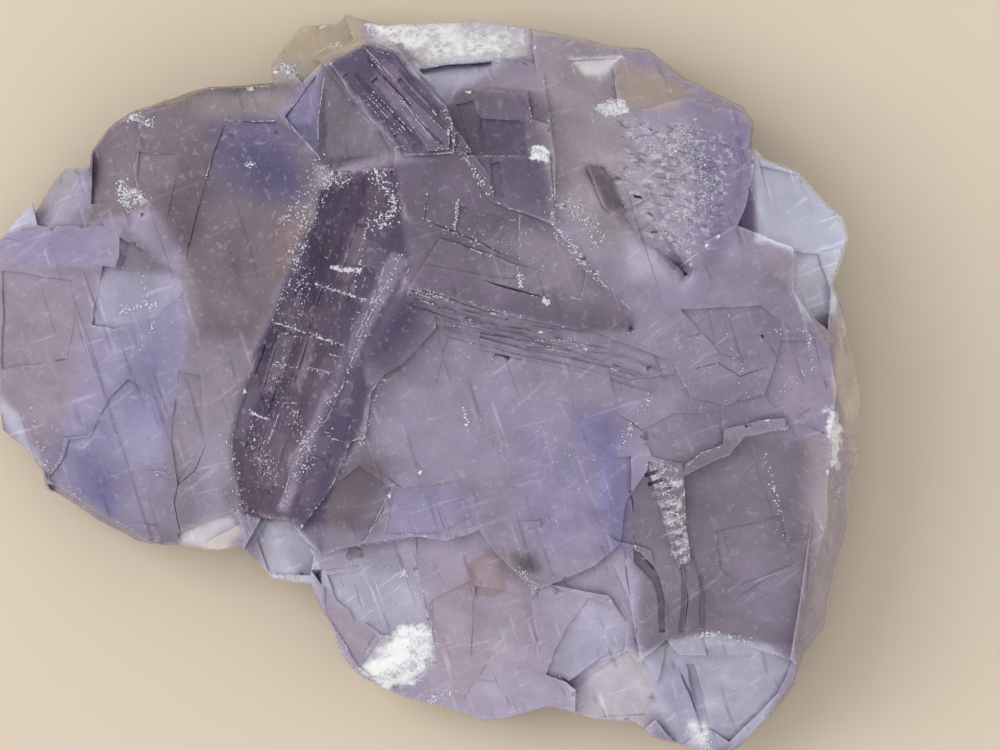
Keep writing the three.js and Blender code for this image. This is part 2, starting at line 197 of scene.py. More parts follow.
# How much paler than its zone the crystal is in its wisps and along its cleavages, whose streaks are
# given by their turn in plan and by how finely they are drawn along each axis.
PALER = (1.7, 1.7, 1.6)
CLEAVAGES = [
    (CUBE_TURN, (1900, 90, 300)),
    (CUBE_TURN, (80, 1700, 300)),
    (OTHER_TURN, (1800, 110, 300)),
]
DARK_CLEAVAGE = (CUBE_TURN, (1500, 70, 260))


def oval(middle, radii):
    """The outline of an oval in plan."""
    turns = np.linspace(0, 2 * math.pi, 16, endpoint=False)
    rounds = np.column_stack((np.cos(turns), np.sin(turns)))
    return [tuple(corner) for corner in middle + rounds * radii]


# Colour zones, among them painted shade and painted sheen, painted in this order: colour, strength,
# softness in mm, outline.
ZONES = [
    # The left lobe, whose pale bluish facets are partly their own colour and partly painted sheen.
    (LILAC, 0.9, 1.5, [(-2, 22), (19, 26), (20, 58), (-2, 58)]),
    (DUSK, 0.55, 3.0, [(-2, 37), (18, 37), (19, 58), (-2, 58)]),
    (ROSE, 0.45, 3.0, [(-1, 27), (9, 28), (9, 38), (4, 44), (-2, 42)]),
    (MAUVE, 0.9, 0.8, [(18, 26), (27, 25), (27, 38), (25, 48), (23, 56), (17, 56), (17, 48), (19, 40)]),
    (HAZE, 0.5, 1.5, [(18.5, 43), (23, 42), (23, 50), (21, 53), (18, 50)]),
    (PERIWINKLE, 0.6, 1.5, [(11, 29), (18.3, 29), (18.5, 38), (15, 46), (8, 50), (5, 46), (8, 38)]),
    (linear(104, 96, 142), 0.85, 1.8, [(7.5, 46), (11.5, 46.5), (13, 50), (11, 53), (7, 50)]),
    (BLUE, 0.3, 1.5, [(13, 34), (16.5, 33), (16.5, 46), (12, 46)]),
    (ICE, 0.35, 1.5, [(12.4, 43), (16, 42.4), (16, 47), (12.6, 47)]),
    (ICE, 0.35, 0.3, [(10.2, 26.5), (18.3, 27.7), (18.3, 28.9), (15.3, 31.4), (11.2, 33.2), (9.6, 33.3)]),
    (PERIWINKLE, 0.45, 0.5, [(-0.5, 24), (4.8, 22.8), (10.4, 23.5), (10.2, 26.6), (0.8, 26)]),
    (DUSK, 0.9, 0.4, [(12.1, 22.6), (17.7, 27.1), (12.1, 27.1)]),
    (ICE, 0.3, 0.6, [(3.3, 19.8), (6.2, 16.6), (8.6, 17.4), (8.6, 19.7), (6, 22.6), (3.4, 22.6)]),
    (FOG, 0.6, 0.4, [(0.3, 22.6), (3.6, 19.9), (4.6, 22), (0.5, 23.5)]),
    (FOG, 0.6, 0.5, [(-0.2, 40), (1.5, 41), (4, 46.6), (2.5, 46), (0.5, 43)]),
    (linear(204, 194, 190), 1.0, 0.3, [(18.1, 53), (23.1, 51.4), (24, 53), (22.5, 55.4), (18, 55.4)]),
    (SMOKE, 0.7, 0.5, [(22.3, 48.8), (23.5, 48.4), (23.4, 50.6), (22.4, 50.2)]),
    # The rounded mass at the upper left.
    (linear(124, 111, 118), 0.95, 0.4, [(8.8, 14), (13, 10), (27, 7.5), (33, 11), (31, 26), (26, 30),
        (20, 28), (16, 21), (9, 22)]),
    (linear(92, 79, 92), 0.75, 1.8, [(15.6, 20), (17.5, 15), (22, 13), (22.5, 20), (20.5, 25),
        (16.5, 25)]),
    (linear(112, 100, 106), 0.5, 1.2, [(13.5, 13.5), (17, 13.5), (17, 18.5), (14, 19)]),
    (linear(96, 87, 118), 0.8, 2.5, [(21.5, 12.5), (30, 13.4), (31, 19), (27, 21), (22, 19)]),
    (linear(70, 64, 108), 0.6, 2.2, [(22.5, 15), (27, 14.5), (30.5, 17), (29.5, 19.5), (25, 18.5)]),
    (linear(150, 138, 142), 0.8, 0.8, [(18, 10), (29, 8.4), (30, 11.8), (22, 11.8)]),
    (BLUE, 0.4, 1.0, [(22.5, 12), (27.6, 12.1), (29.5, 14), (23, 14)]),
    (linear(112, 99, 108), 0.9, 1.5, [(22, 21), (28, 22), (29, 27), (26, 34), (20, 34), (19, 28)]),
    (linear(84, 72, 74), 0.7, 0.4, [(8.6, 18), (9, 14), (12.6, 10.2), (20, 8.8), (27.4, 8), (27.6, 8.8),
        (20, 9.7), (13, 11.1), (9.9, 14.4), (9.5, 18)]),
    (RUST, 0.35, 1.2, [(27.6, 22.9), (30.3, 22.9), (29, 26), (27, 28)]),
    # The back rim: frosted piece, its wedge, clear corners and the pale three-cornered faces.
    (linear(176, 170, 178), 0.9, 0.4, [(36.3, 1.6), (44, 2.2), (53.7, 3.5), (51, 6.3), (42, 6.3),
        (38.5, 4.6)]),
    (FOG, 0.9, 0.4, [(41.3, 6.3), (50.9, 6.1), (47.5, 8.8), (45.9, 9.2), (44.5, 10.9), (42.8, 9)]),
    (SAND, 0.95, 0.5, [(26, 8.5), (28, 4), (30, 1.5), (36, 0.5), (36.3, 4.6), (32.8, 6.2), (30, 8)]),
    (PEARL, 0.6, 0.6, [(27.5, 6), (30, 6), (30, 8), (27.6, 8.2)]),
    (linear(84, 76, 96), 0.9, 0.4, [(32.5, 6.3), (39.8, 15.5), (33.5, 17), (32, 16), (31.8, 8)]),
    (PERIWINKLE, 0.6, 0.4, [(27.9, 11.3), (32.5, 6.3), (32.1, 15.9)]),
    (SHADE, 0.7, 0.3, [(29.6, 12.6), (31.9, 12.2), (32, 15.4)]),
    # The dark cubes.
    (VIOLET, 0.9, 0.3, [(33.1, 6.5), (36.7, 4.6), (39.8, 5.5), (44.7, 10.9), (45.5, 15.6), (40.5, 15.7)]),
    (linear(132, 117, 138), 0.7, 0.3, [(37.5, 7.5), (39.8, 6.2), (44.9, 12.5), (45, 15.4), (42.5, 15.4)]),
    (linear(112, 98, 118), 0.9, 0.3, [(44.4, 10.7), (45.9, 9.2), (52.6, 9.6), (53.2, 12.2), (54.9, 12.8),
        (55.5, 16.1), (55.4, 22.6), (49.1, 20.3), (45.7, 16.5)]),
    (INK, 0.3, 0.3, [(48, 12.2), (52.4, 12.4), (52.8, 15.8), (48, 15.8)]),
    (VIOLET, 0.5, 0.6, [(48.6, 16), (55, 16), (55.2, 21), (51, 20)]),
    # The plateau.
    (PLUM, 0.85, 0.4, [(39.3, 16.5), (45.5, 15.6), (49, 20.3), (55.4, 22.6), (59, 27.1), (64, 32),
        (60, 33.3), (52.4, 31.8), (44.5, 29.7), (40.8, 28.3), (39.5, 26)]),
    (MAUVE, 0.7, 1.5, [(47, 24), (53, 23), (57, 24), (62, 31), (55, 30), (48, 28)]),
    # The upper right.
    (linear(176, 163, 170), 0.9, 2.0, [(54, 5), (62, 8), (62, 22), (56, 22)]),
    (linear(172, 160, 169), 0.8, 1.2, [(53.4, 3.5), (61, 5), (62.6, 11.5), (61.1, 18.3), (64, 23.5),
        (59, 26), (55.4, 18)]),
    (PEARL, 0.8, 0.4, [(57.1, 6.4), (62, 6.1), (60.2, 8.1), (58.8, 7.9)]),
    (BEIGE, 0.8, 1.2, [(62, 7), (66, 7.4), (68.6, 9.8), (66, 11.4), (62.4, 11)]),
    (PEARL, 0.3, 1.5, [(62.6, 12), (70, 12), (70, 24), (67, 26), (62, 20)]),
    (BLUE, 0.4, 1.5, [(70, 12.6), (75.4, 12.4), (75, 20), (71.5, 25.5), (68.9, 24)]),
    (VIOLET, 0.5, 0.3, [(58.4, 16.9), (59.8, 17), (62.1, 21.4), (60.4, 21.4)]),
    (linear(206, 196, 218), 0.8, 1.2, [(62, 22.6), (66, 25), (69, 28), (63, 28)]),
    # The right side, whose pale plate is partly its own pale colour and partly painted sheen.
    (FOG, 1.0, 0.3, [(75.4, 14.4), (80, 17), (84.6, 21.6), (85.2, 24), (83.5, 31.4), (81, 32),
        (79.3, 29.3), (79.3, 24.9), (75.4, 24.2)]),
    (FOG, 0.8, 0.4, [(79.4, 25), (80.5, 24.8), (81.5, 30), (80.6, 31.5), (79.4, 29)]),
    (PLUM, 0.75, 1.5, [(67.5, 38), (78, 38), (79.5, 41.5), (73, 43), (69, 44.5), (66, 44)]),
    (MAUVE, 0.7, 0.5, [(75.7, 24.2), (79.2, 24.8), (79.2, 29.1), (75.7, 29.1)]),
    (LILAC, 0.7, 1.5, [(64, 30), (80, 30), (83, 44), (72, 43), (66, 46), (64, 40)]),
    (PLUM, 0.25, 1.5, [(68.5, 37.6), (75, 37.6), (75, 42), (69, 43)]),
    (linear(212, 196, 180), 0.9, 0.5, [(83.4, 31), (86.8, 34), (86.8, 48), (84.9, 60), (84.4, 56),
        (84.6, 46), (83.2, 38)]),
    # The main face.
    (LILAC, 0.9, 1.0, [(45, 31.5), (60, 34.5), (64, 37), (62, 55), (50, 54), (40, 53), (40, 38)]),
    # Darker at the upper left corner and along the top edge: painted shadow of the raised ridge and wall
    # crest beside them.
    (PLUM, 0.8, 3.0, [(36, 34), (39.6, 28.5), (43.4, 29), (45, 33), (42, 37), (38, 40), (35, 40)]),
    (INK, 0.8, 2.0, [(37, 32.5), (39.6, 29.4), (42.4, 29.8), (42, 33), (39, 35.6), (36.6, 36.5)]),
    (PLUM, 0.5, 1.8, [(43, 29.5), (50, 31.5), (56, 33), (50, 34.5), (44, 33)]),
    (UMBER, 0.85, 2.0, [(39.4, 46.3), (38, 50.5), (36.4, 54), (32.4, 55.6), (30, 52.6), (33.2, 46.5),
        (36.5, 44)]),
    (linear(118, 112, 166), 0.7, 2.0, [(57, 41), (61.2, 41), (62.4, 45.5), (63.3, 51), (62.6, 55),
        (60.6, 54), (59.6, 47)]),
    (PERIWINKLE, 0.5, 2.0, [(52, 42), (58, 44), (60, 52), (55, 56), (52, 50)]),
    (PERIWINKLE, 0.5, 1.5, [(40, 49.5), (46, 48.5), (47, 52), (39, 53)]),
    # The stepped wall.
    (linear(86, 72, 95), 1.0, 0.35, [(33.5, 17.5), (31.9, 21.1), (30, 25.4), (28.1, 29.3), (26.5, 34),
        (24.7, 37.9), (23.9, 40.9), (23.3, 44.1), (24.2, 51), (26.8, 52.6), (28.7, 51.5), (32.2, 55.4),
        (33.2, 48.7), (36.5, 41.6), (36.6, 35), (41, 26.8), (39.9, 17.2)]),
    (linear(62, 50, 78), 1.0, 0.5, [(32.2, 19), (37.4, 18), (36.5, 26), (33, 31), (30, 30)]),
    (linear(150, 138, 160), 0.6, 0.2, [(39.6, 25.2), (41, 26.4), (38.2, 30.5), (36.4, 35), (34.6, 39.5),
        (32.6, 43), (30.4, 46.5), (28.9, 51), (28, 50.8), (29.6, 46), (31.6, 42), (33.4, 38), (34.8, 34),
        (36.6, 30)]),
    (INK, 0.8, 0.6, [(36.9, 24.6), (38.6, 24.6), (37.6, 27.6), (36.4, 27.6)]),
    (INK, 0.8, 0.5, [(27.6, 32), (29.6, 32.6), (28.5, 36.6), (25.6, 36)]),
    (VIOLET, 0.6, 0.8, [(24.9, 38), (29.6, 37.5), (27.8, 43.5), (24, 43)]),
    (VIOLET, 0.85, 0.5, [(34.8, 35.4), (37, 38.6), (33.6, 45.8), (31, 50.5), (29.4, 50)]),
    (INK, 0.3, 0.3, [(30, 28.2), (33.2, 29.5), (31.4, 33.2), (28.2, 32.2)]),
    (INK, 0.4, 0.3, [(28, 33), (31.2, 34), (30.2, 36.7), (26.8, 36.1)]),
    (VIOLET, 0.4, 0.3, [(33.8, 29.8), (36.4, 30.8), (34.5, 34.4), (31.8, 33.4)]),
    (INK, 0.25, 0.3, [(26.6, 37), (29, 37.4), (27.8, 41.6), (25.2, 40.8)]),
    # The front right crystal.
    (DUSK, 0.9, 0.5, [(62.6, 51), (66, 46), (72.5, 43.5), (82.4, 44), (82.4, 52), (80, 64.5),
        (64.3, 65.6)]),
    (LILAC, 0.5, 1.5, [(73, 58), (80, 57), (79, 63), (74, 62.5)]),
    (PLUM, 0.1, 2.0, [(70, 46), (80, 45), (79.8, 64), (69.5, 62.5)]),
    (linear(176, 162, 170), 0.9, 1.4, [(81, 44), (84.6, 44), (84.4, 54), (82.4, 62), (80.4, 63),
        (80.6, 52)]),
    # The fractures in front, whose pale facets are partly their own pale colour and partly painted sheen.
    (HAZE, 0.8, 0.4, [(26, 56), (31, 55.6), (35, 54.8), (45, 54), (48, 53), (50, 55.5), (54, 59),
        (59, 57), (62, 55), (64, 58), (62.6, 64), (66, 75), (30, 75), (26, 58)]),
    (LILAC, 0.8, 1.0, [(38, 54.4), (45, 54), (49, 53.5), (50, 57), (48, 59), (41.5, 58)]),
    (HAZE, 0.4, 0.8, [(26, 51.5), (40, 54), (60, 56), (62.6, 64), (66, 75), (30, 75), (26, 58)]),
    (ICE, 0.8, 0.3, [(25.6, 52), (30, 52.8), (32, 55.6), (31.8, 58.4), (27, 58)]),
    (ICE, 0.8, 0.5, [(32.6, 57), (39, 56.7), (41.4, 58.2), (42, 62), (36, 62), (33, 60)]),
    (ROSE, 0.5, 1.5, [(33, 60.5), (37, 62), (38, 66), (35.5, 67), (33.6, 64)]),
    (ROSE, 0.55, 3.0, [(44, 56), (53, 58), (54, 66), (46, 70), (43, 64)]),
    (PEARL, 0.3, 2.0, [(45, 61), (53, 61), (53, 68), (46, 70)]),
    (linear(174, 168, 194), 0.7, 0.2, [(58.8, 59.9), (62.6, 62.2), (62.8, 64.1), (59.9, 65.9),
        (56.8, 68.2), (54.3, 66)]),
    (linear(192, 184, 196), 0.95, 0.2, [(62.8, 64.4), (65.9, 68.5), (67.1, 70.9), (64.5, 72.5),
        (58.5, 71.5), (57.3, 69.2), (60, 66.2)]),
    (ICE, 0.85, 0.3, [(64, 65.6), (67, 63.9), (70, 63.1), (77, 64.7), (79, 66.8), (76, 73), (70, 76),
        (65.5, 72)]),
    (PERIWINKLE, 0.7, 0.6, [(66, 66), (69, 66), (70.4, 72), (68.6, 73), (66.6, 69)]),
    (SNOW, 0.5, 0.6, [(69.2, 72.2), (71, 72.4), (70.8, 75), (69, 74.6)]),
    (linear(150, 118, 112), 0.6, 0.45, oval((48.9, 57.3), (2.2, 2.6))),
    (linear(172, 156, 166), 0.85, 0.45, oval((48.9, 57.3), (1.5, 1.9))),
    (linear(84, 68, 74), 1.0, 0.7, [(51.4, 55.5), (53.2, 55.5), (54, 56.9), (52, 57)]),
    (SMOKE, 0.35, 1.3, [(50, 54.6), (54, 54.4), (55, 57.6), (51, 58)]),
    (SMOKE, 0.6, 0.4, [(73.5, 52.6), (74.3, 52.7), (74.1, 53.2), (73.6, 53.2)]),
    (SMOKE, 0.6, 0.5, [(66.4, 31), (67.4, 31), (67.3, 31.9), (66.5, 31.8)]),
]

# Frosted places: strength, softness in mm, outline.
FROST = [
    (0.75, 0.8, [(37.8, 65), (40, 62.6), (43, 62.8), (43.2, 65.8), (40, 66.6)]),
    (1.0, 0.5, [(35.9, 66.9), (38, 66), (42, 65.4), (42.6, 67), (41, 68.5), (38, 69)]),
    (0.9, 0.8, [(36.7, 2.4), (39.8, 2.4), (44, 3.4), (45.5, 4.5), (42, 4.6), (38, 4)]),
    (0.45, 1.2, [(43, 2.5), (53, 3.4), (50, 6), (42, 6)]),
    (1.0, 0.25, [(59.8, 11.2), (61, 9.9), (62.4, 10.1), (62.8, 11.2), (61.2, 11.7)]),
    (0.9, 0.3, [(53, 14.8), (54.3, 14.8), (54.9, 16.2), (53.2, 16.2)]),
    (0.14, 0.9, [(62.6, 12), (68.5, 12.5), (73.5, 14.5), (73, 19.5), (71, 25), (68.9, 27), (63.9, 23),
        (61.4, 18.5)]),
    (0.5, 0.6, [(12.6, 11.4), (13.8, 11.4), (13.8, 12.2), (12.6, 12.2)]),
    (0.25, 0.5, [(11.8, 18.4), (13, 18.4), (14.6, 19.5), (13.4, 21), (11.9, 20.2)]),
    (0.28, 0.35, [(64.6, 46), (66.6, 46.2), (68.1, 46.7), (68.2, 49.9), (68.9, 56.2), (67.8, 56.7),
        (66.6, 52.5), (65, 47.5)]),
    (0.7, 0.4, [(82.6, 41), (83.9, 41), (84, 44), (83.7, 46.7), (83, 46.7), (82.9, 43)]),
    (0.4, 0.6, [(25.4, 57), (27.4, 57.6), (29.5, 58.3), (27, 58.6)]),
    (0.5, 0.4, [(69.2, 72.6), (70.9, 72.4), (70.8, 74.8), (69.3, 74.4)]),
]

# Clearer places: how clear, softness in mm, outline.
CLEAR = [
    (0.06, 1.5, [(10, 12), (27, 8.5), (32, 12), (31, 26), (26, 33), (19, 32), (15, 23), (9, 21)]),
    (0.1, 1.0, [(33.5, 17.5), (30, 25), (26, 34), (23.6, 44), (24.6, 51), (32, 54), (37, 40), (42, 27),
        (40, 17)]),
    (0.5, 0.8, [(25, 9), (28, 3), (30, 1), (36.5, 0.5), (36.5, 4.6), (32.8, 6.2), (30, 8)]),
    (0.3, 0.8, [(27.9, 11.3), (32.5, 6.3), (36, 10), (34, 16), (32, 16)]),
    (0.12, 0.5, [(75.4, 14.4), (80, 17), (84.6, 21.6), (85.2, 24), (83.5, 31.4), (79.3, 29.3),
        (75.4, 24.2)]),
    (0.3, 0.8, [(83.4, 31), (87, 34), (87, 48), (84.6, 60), (82.4, 46)]),
    (0.15, 0.8, [(18, 52.5), (24, 51), (31, 55), (31, 59), (26, 58), (18, 56)]),
    (0.15, 0.8, [(58, 60), (63, 62), (64, 65), (70, 63), (78, 65), (77, 73), (70, 77), (56, 72)]),
]

# Lines of relief: what it does, half width in mm, height or depth in mm, the line.
# A step's right-hand side, going along it, is the lower one. A talus is given by how far it reaches to
# that side, and has no depth.
RELIEF_LINES = [
    ("talus", 1.9, 0, [(36.6, 16.9), (35.9, 19), (35.2, 21.2)]),
    ("talus", 1.4, 0, [(34.1, 23.2), (33.5, 25.4)]),
    ("talus", 2.2, 0, [(51.5, 6.5), (46.5, 6.7), (41.6, 6.6)]),
    ("talus", 2.2, 0, [(83, 34.8), (80.9, 31.3), (79.4, 29), (79.3, 24.6)]),
    ("talus", 1.6, 0, [(11.6, 26.8), (11.5, 23.2)]),
    ("talus", 3.0, 0, [(70.6, 28.4), (69, 27.2), (66.5, 25.4), (63.9, 23.3), (62.3, 21), (61.2, 18.2)]),
    ("talus", 1.8, 0, [(31, 53.6), (30.4, 56), (30, 58.2)]),
    ("step", 0.12, 0.24, [(29.9, 27.4), (33.4, 28.9), (36.7, 30.1)]),
    ("step", 0.12, 0.24, [(27.5, 32.2), (31, 33.4), (34.4, 34.6)]),
    ("step", 0.12, 0.24, [(26.9, 36.3), (30, 36.9), (33.2, 37.4)]),
    ("step", 0.12, 0.24, [(25.2, 41.2), (28, 42.1), (31, 43.2)]),
    ("step", 0.10, 0.20, [(24.6, 45), (27, 45.7), (29.4, 46.6)]),
    ("step", 0.10, 0.20, [(24.9, 48.4), (27.8, 49.3)]),
    ("groove", 0.28, 0.42, [(42.6, 22.2), (45.3, 23.3), (48, 24.4), (50, 25.5)]),
    ("groove", 0.30, 0.45, [(48.3, 28), (51.9, 29.2), (54.2, 29.7)]),
    ("step", 0.20, 0.30, [(41, 28.5), (44.5, 29.7), (48, 30.9), (52.4, 31.9), (60, 33.5), (66.7, 36)]),
    ("groove", 0.32, 0.40, [(63.3, 53.5), (63.7, 55.2), (65.2, 56.7), (65.8, 58), (66.2, 60),
        (66.4, 63.2)]),
    ("groove", 0.20, 0.20, [(62.4, 54.6), (62.6, 57), (62.9, 59.8)]),
    ("groove", 0.18, 0.22, [(68.5, 58.3), (68.7, 60), (68.4, 63.2)]),
    ("groove", 0.18, 0.22, [(69.8, 58.6), (70.2, 60), (70.1, 62.1)]),
    ("groove", 0.22, 0.25, [(62.1, 47.3), (62.8, 48.5), (63.2, 50), (63.3, 51.3)]),
    ("step", 0.20, 0.35, [(32.2, 55.4), (34.6, 55.8), (34.9, 54.6), (37.8, 54.3), (41.6, 53.7),
        (44.7, 54), (48, 52.9)]),
    ("step", 0.15, 0.20, [(49.7, 55.4), (52, 57.7), (54, 58.9), (57.3, 57.7), (59.5, 56.5), (62, 54.4)]),
    ("step", 0.15, 0.20, [(11.8, 38.8), (10.6, 41), (8.6, 43.6), (6.1, 43.9), (5.8, 45.4), (4.5, 48.1)]),
    ("step", 0.15, 0.20, [(11.6, 39.6), (9.8, 43.3), (8, 45.3), (7.3, 47.4), (7.8, 48.4)]),
    ("step", 0.12, 0.16, [(16.9, 47.9), (16.4, 47.3), (14.9, 47.1), (14.1, 46.1), (12.3, 45.8),
        (10, 44.3)]),
    ("groove", 0.12, 0.15, [(16.4, 46.9), (15.9, 44.4)]),
    ("groove", 0.14, 0.18, [(20.6, 44.1), (19.4, 47.1), (17.6, 48.6), (17.2, 50.2), (17.9, 53.6)]),
    ("groove", 0.12, 0.12, [(15.4, 41.5), (16.9, 42.8)]),
    ("groove", 0.12, 0.12, [(18.1, 37.5), (20.1, 38.8)]),
    ("groove", 0.12, 0.12, [(7.4, 29), (6.9, 32.2), (5.8, 36)]),
    ("step", 0.18, 0.25, [(22.3, 12.1), (27.6, 12.1), (31.9, 14.7)]),
    ("step", 0.18, 0.20, [(18.5, 26), (19.6, 21.4), (21.2, 15.6), (22.4, 12.4)]),
    ("groove", 0.16, 0.20, [(61.7, 41.4), (64.1, 43), (67.3, 41.4)]),
    ("groove", 0.14, 0.16, [(68.4, 37.2), (71.6, 36.2), (74, 37.6), (77, 36.6)]),
    ("groove", 0.35, 0.45, [(67.8, 66.6), (69.1, 69.6), (70.1, 72.5)]),
    ("ridge", 0.30, 0.30, [(69.8, 68.4), (70.7, 71.8)]),
    ("step", 0.20, 0.25, [(28.8, 57), (32.6, 57), (35.5, 56.6), (39, 56.7), (41.3, 58.1), (41.8, 59.5),
        (42.7, 61.5)]),
    ("groove", 0.16, 0.16, [(44, 60), (46.8, 62.4), (47, 66)]),
    ("ridge", 0.16, 0.10, [(60.8, 59.8), (58, 62.6), (55.4, 65.8), (54, 67.6)]),
    ("groove", 0.16, 0.20, [(45.9, 9.2), (48, 12), (49, 16), (49.2, 20.2)]),
    ("step", 0.14, 0.22, [(46.6, 11.9), (53, 12.3)]),
    ("step", 0.14, 0.25, [(55, 15.9), (46.7, 15.7)]),
    ("ridge", 0.16, 0.16, [(73.7, 13.8), (73.9, 17), (73.6, 19.8)]),
    ("step", 0.14, 0.14, [(73.3, 59.8), (76.7, 57.8), (79.6, 56.9)]),
    ("ridge", 0.16, 0.16, [(49.1, 36.3), (50.1, 34.2), (53.6, 35.5)]),
    ("ridge", 0.14, 0.14, [(45.7, 31.9), (44.3, 35.1), (43.7, 38.6)]),
    ("step", 0.16, 0.22, [(39.2, 48.7), (38.4, 51), (36.7, 53.8)]),
    ("groove", 0.14, 0.14, [(37.6, 46.6), (40.5, 49), (43.5, 49.6), (47.5, 51.2)]),
]

# White glint lines: half width in mm, how much of the line shows, the line.
GLINT_LINES = [
    (0.07, 0.9, [(29.9, 27.4), (30.8, 27.8)]),
    (0.08, 0.95, [(31.6, 28.4), (36.7, 30.1)]),
    (0.08, 0.95, [(27.3, 32.2), (30.7, 33.3)]),
    (0.07, 0.9, [(31.9, 33.8), (34.6, 34.6)]),
    (0.07, 0.9, [(33, 35.4), (34.1, 35.7)]),
    (0.07, 0.9, [(27.3, 36.4), (28.5, 36.8)]),
    (0.06, 0.9, [(30.9, 36.7), (33.3, 37.3)]),
    (0.08, 0.9, [(25, 41.2), (26.8, 42)]),
    (0.06, 0.8, [(29.8, 40.3), (28.4, 40.3), (27.9, 41.6), (26.8, 44.4)]),
    (0.06, 0.6, [(40.7, 24.9), (39.7, 26.5), (36.6, 32.5), (35.7, 34.9), (34.4, 38.4), (32.8, 41.9),
        (30.6, 44.1), (29.2, 47), (28.1, 50.8)]),
    (0.08, 0.7, [(38.5, 26.8), (37.8, 28.9), (35.6, 34)]),
    (0.06, 0.6, [(41, 26.8), (39.9, 30.1)]),
    (0.06, 0.55, [(38.4, 37.4), (37.1, 39.2), (36.5, 41.6), (36.5, 43.8), (35.2, 44), (34.1, 46.7),
        (33.2, 48.7)]),
    (0.06, 0.5, [(42.8, 19.6), (42.5, 22)]),
    (0.06, 0.5, [(45.8, 20.3), (45.5, 23.3)]),
    (0.06, 0.5, [(52, 20), (51.9, 24), (51.7, 27.8)]),
    (0.07, 0.5, [(55.4, 18.1), (55.4, 22.6), (57, 24.7), (59, 27.1), (60.3, 28.5), (64, 32)]),
    (0.06, 0.9, [(46.8, 15.8), (52.8, 15.8)]),
    (0.06, 0.8, [(36.5, 4.9), (39.4, 8)]),
    (0.06, 0.8, [(40.2, 10.1), (43.4, 14.3)]),
    (0.07, 0.9, [(32.5, 7.7), (31.8, 12.2), (31.9, 14.7)]),
    (0.07, 0.6, [(27.9, 11.3), (32.1, 15.9)]),
    (0.10, 0.9, [(67.3, 27.2), (69.9, 25.2)]),
    (0.08, 0.9, [(68.9, 25.2), (68.9, 27.2)]),
    (0.08, 0.8, [(79.3, 25), (79.3, 29)]),
    (0.06, 0.6, [(39.2, 48.7), (36.7, 53.8)]),
    (0.06, 0.5, [(34.9, 54.6), (37.8, 54.3), (41.6, 53.7), (44.7, 54)]),
    (0.07, 0.5, [(22.3, 12.1), (27.6, 12.1)]),
    (0.08, 0.6, [(68.5, 46.7), (70.1, 45.2), (72.1, 44.6)]),
]

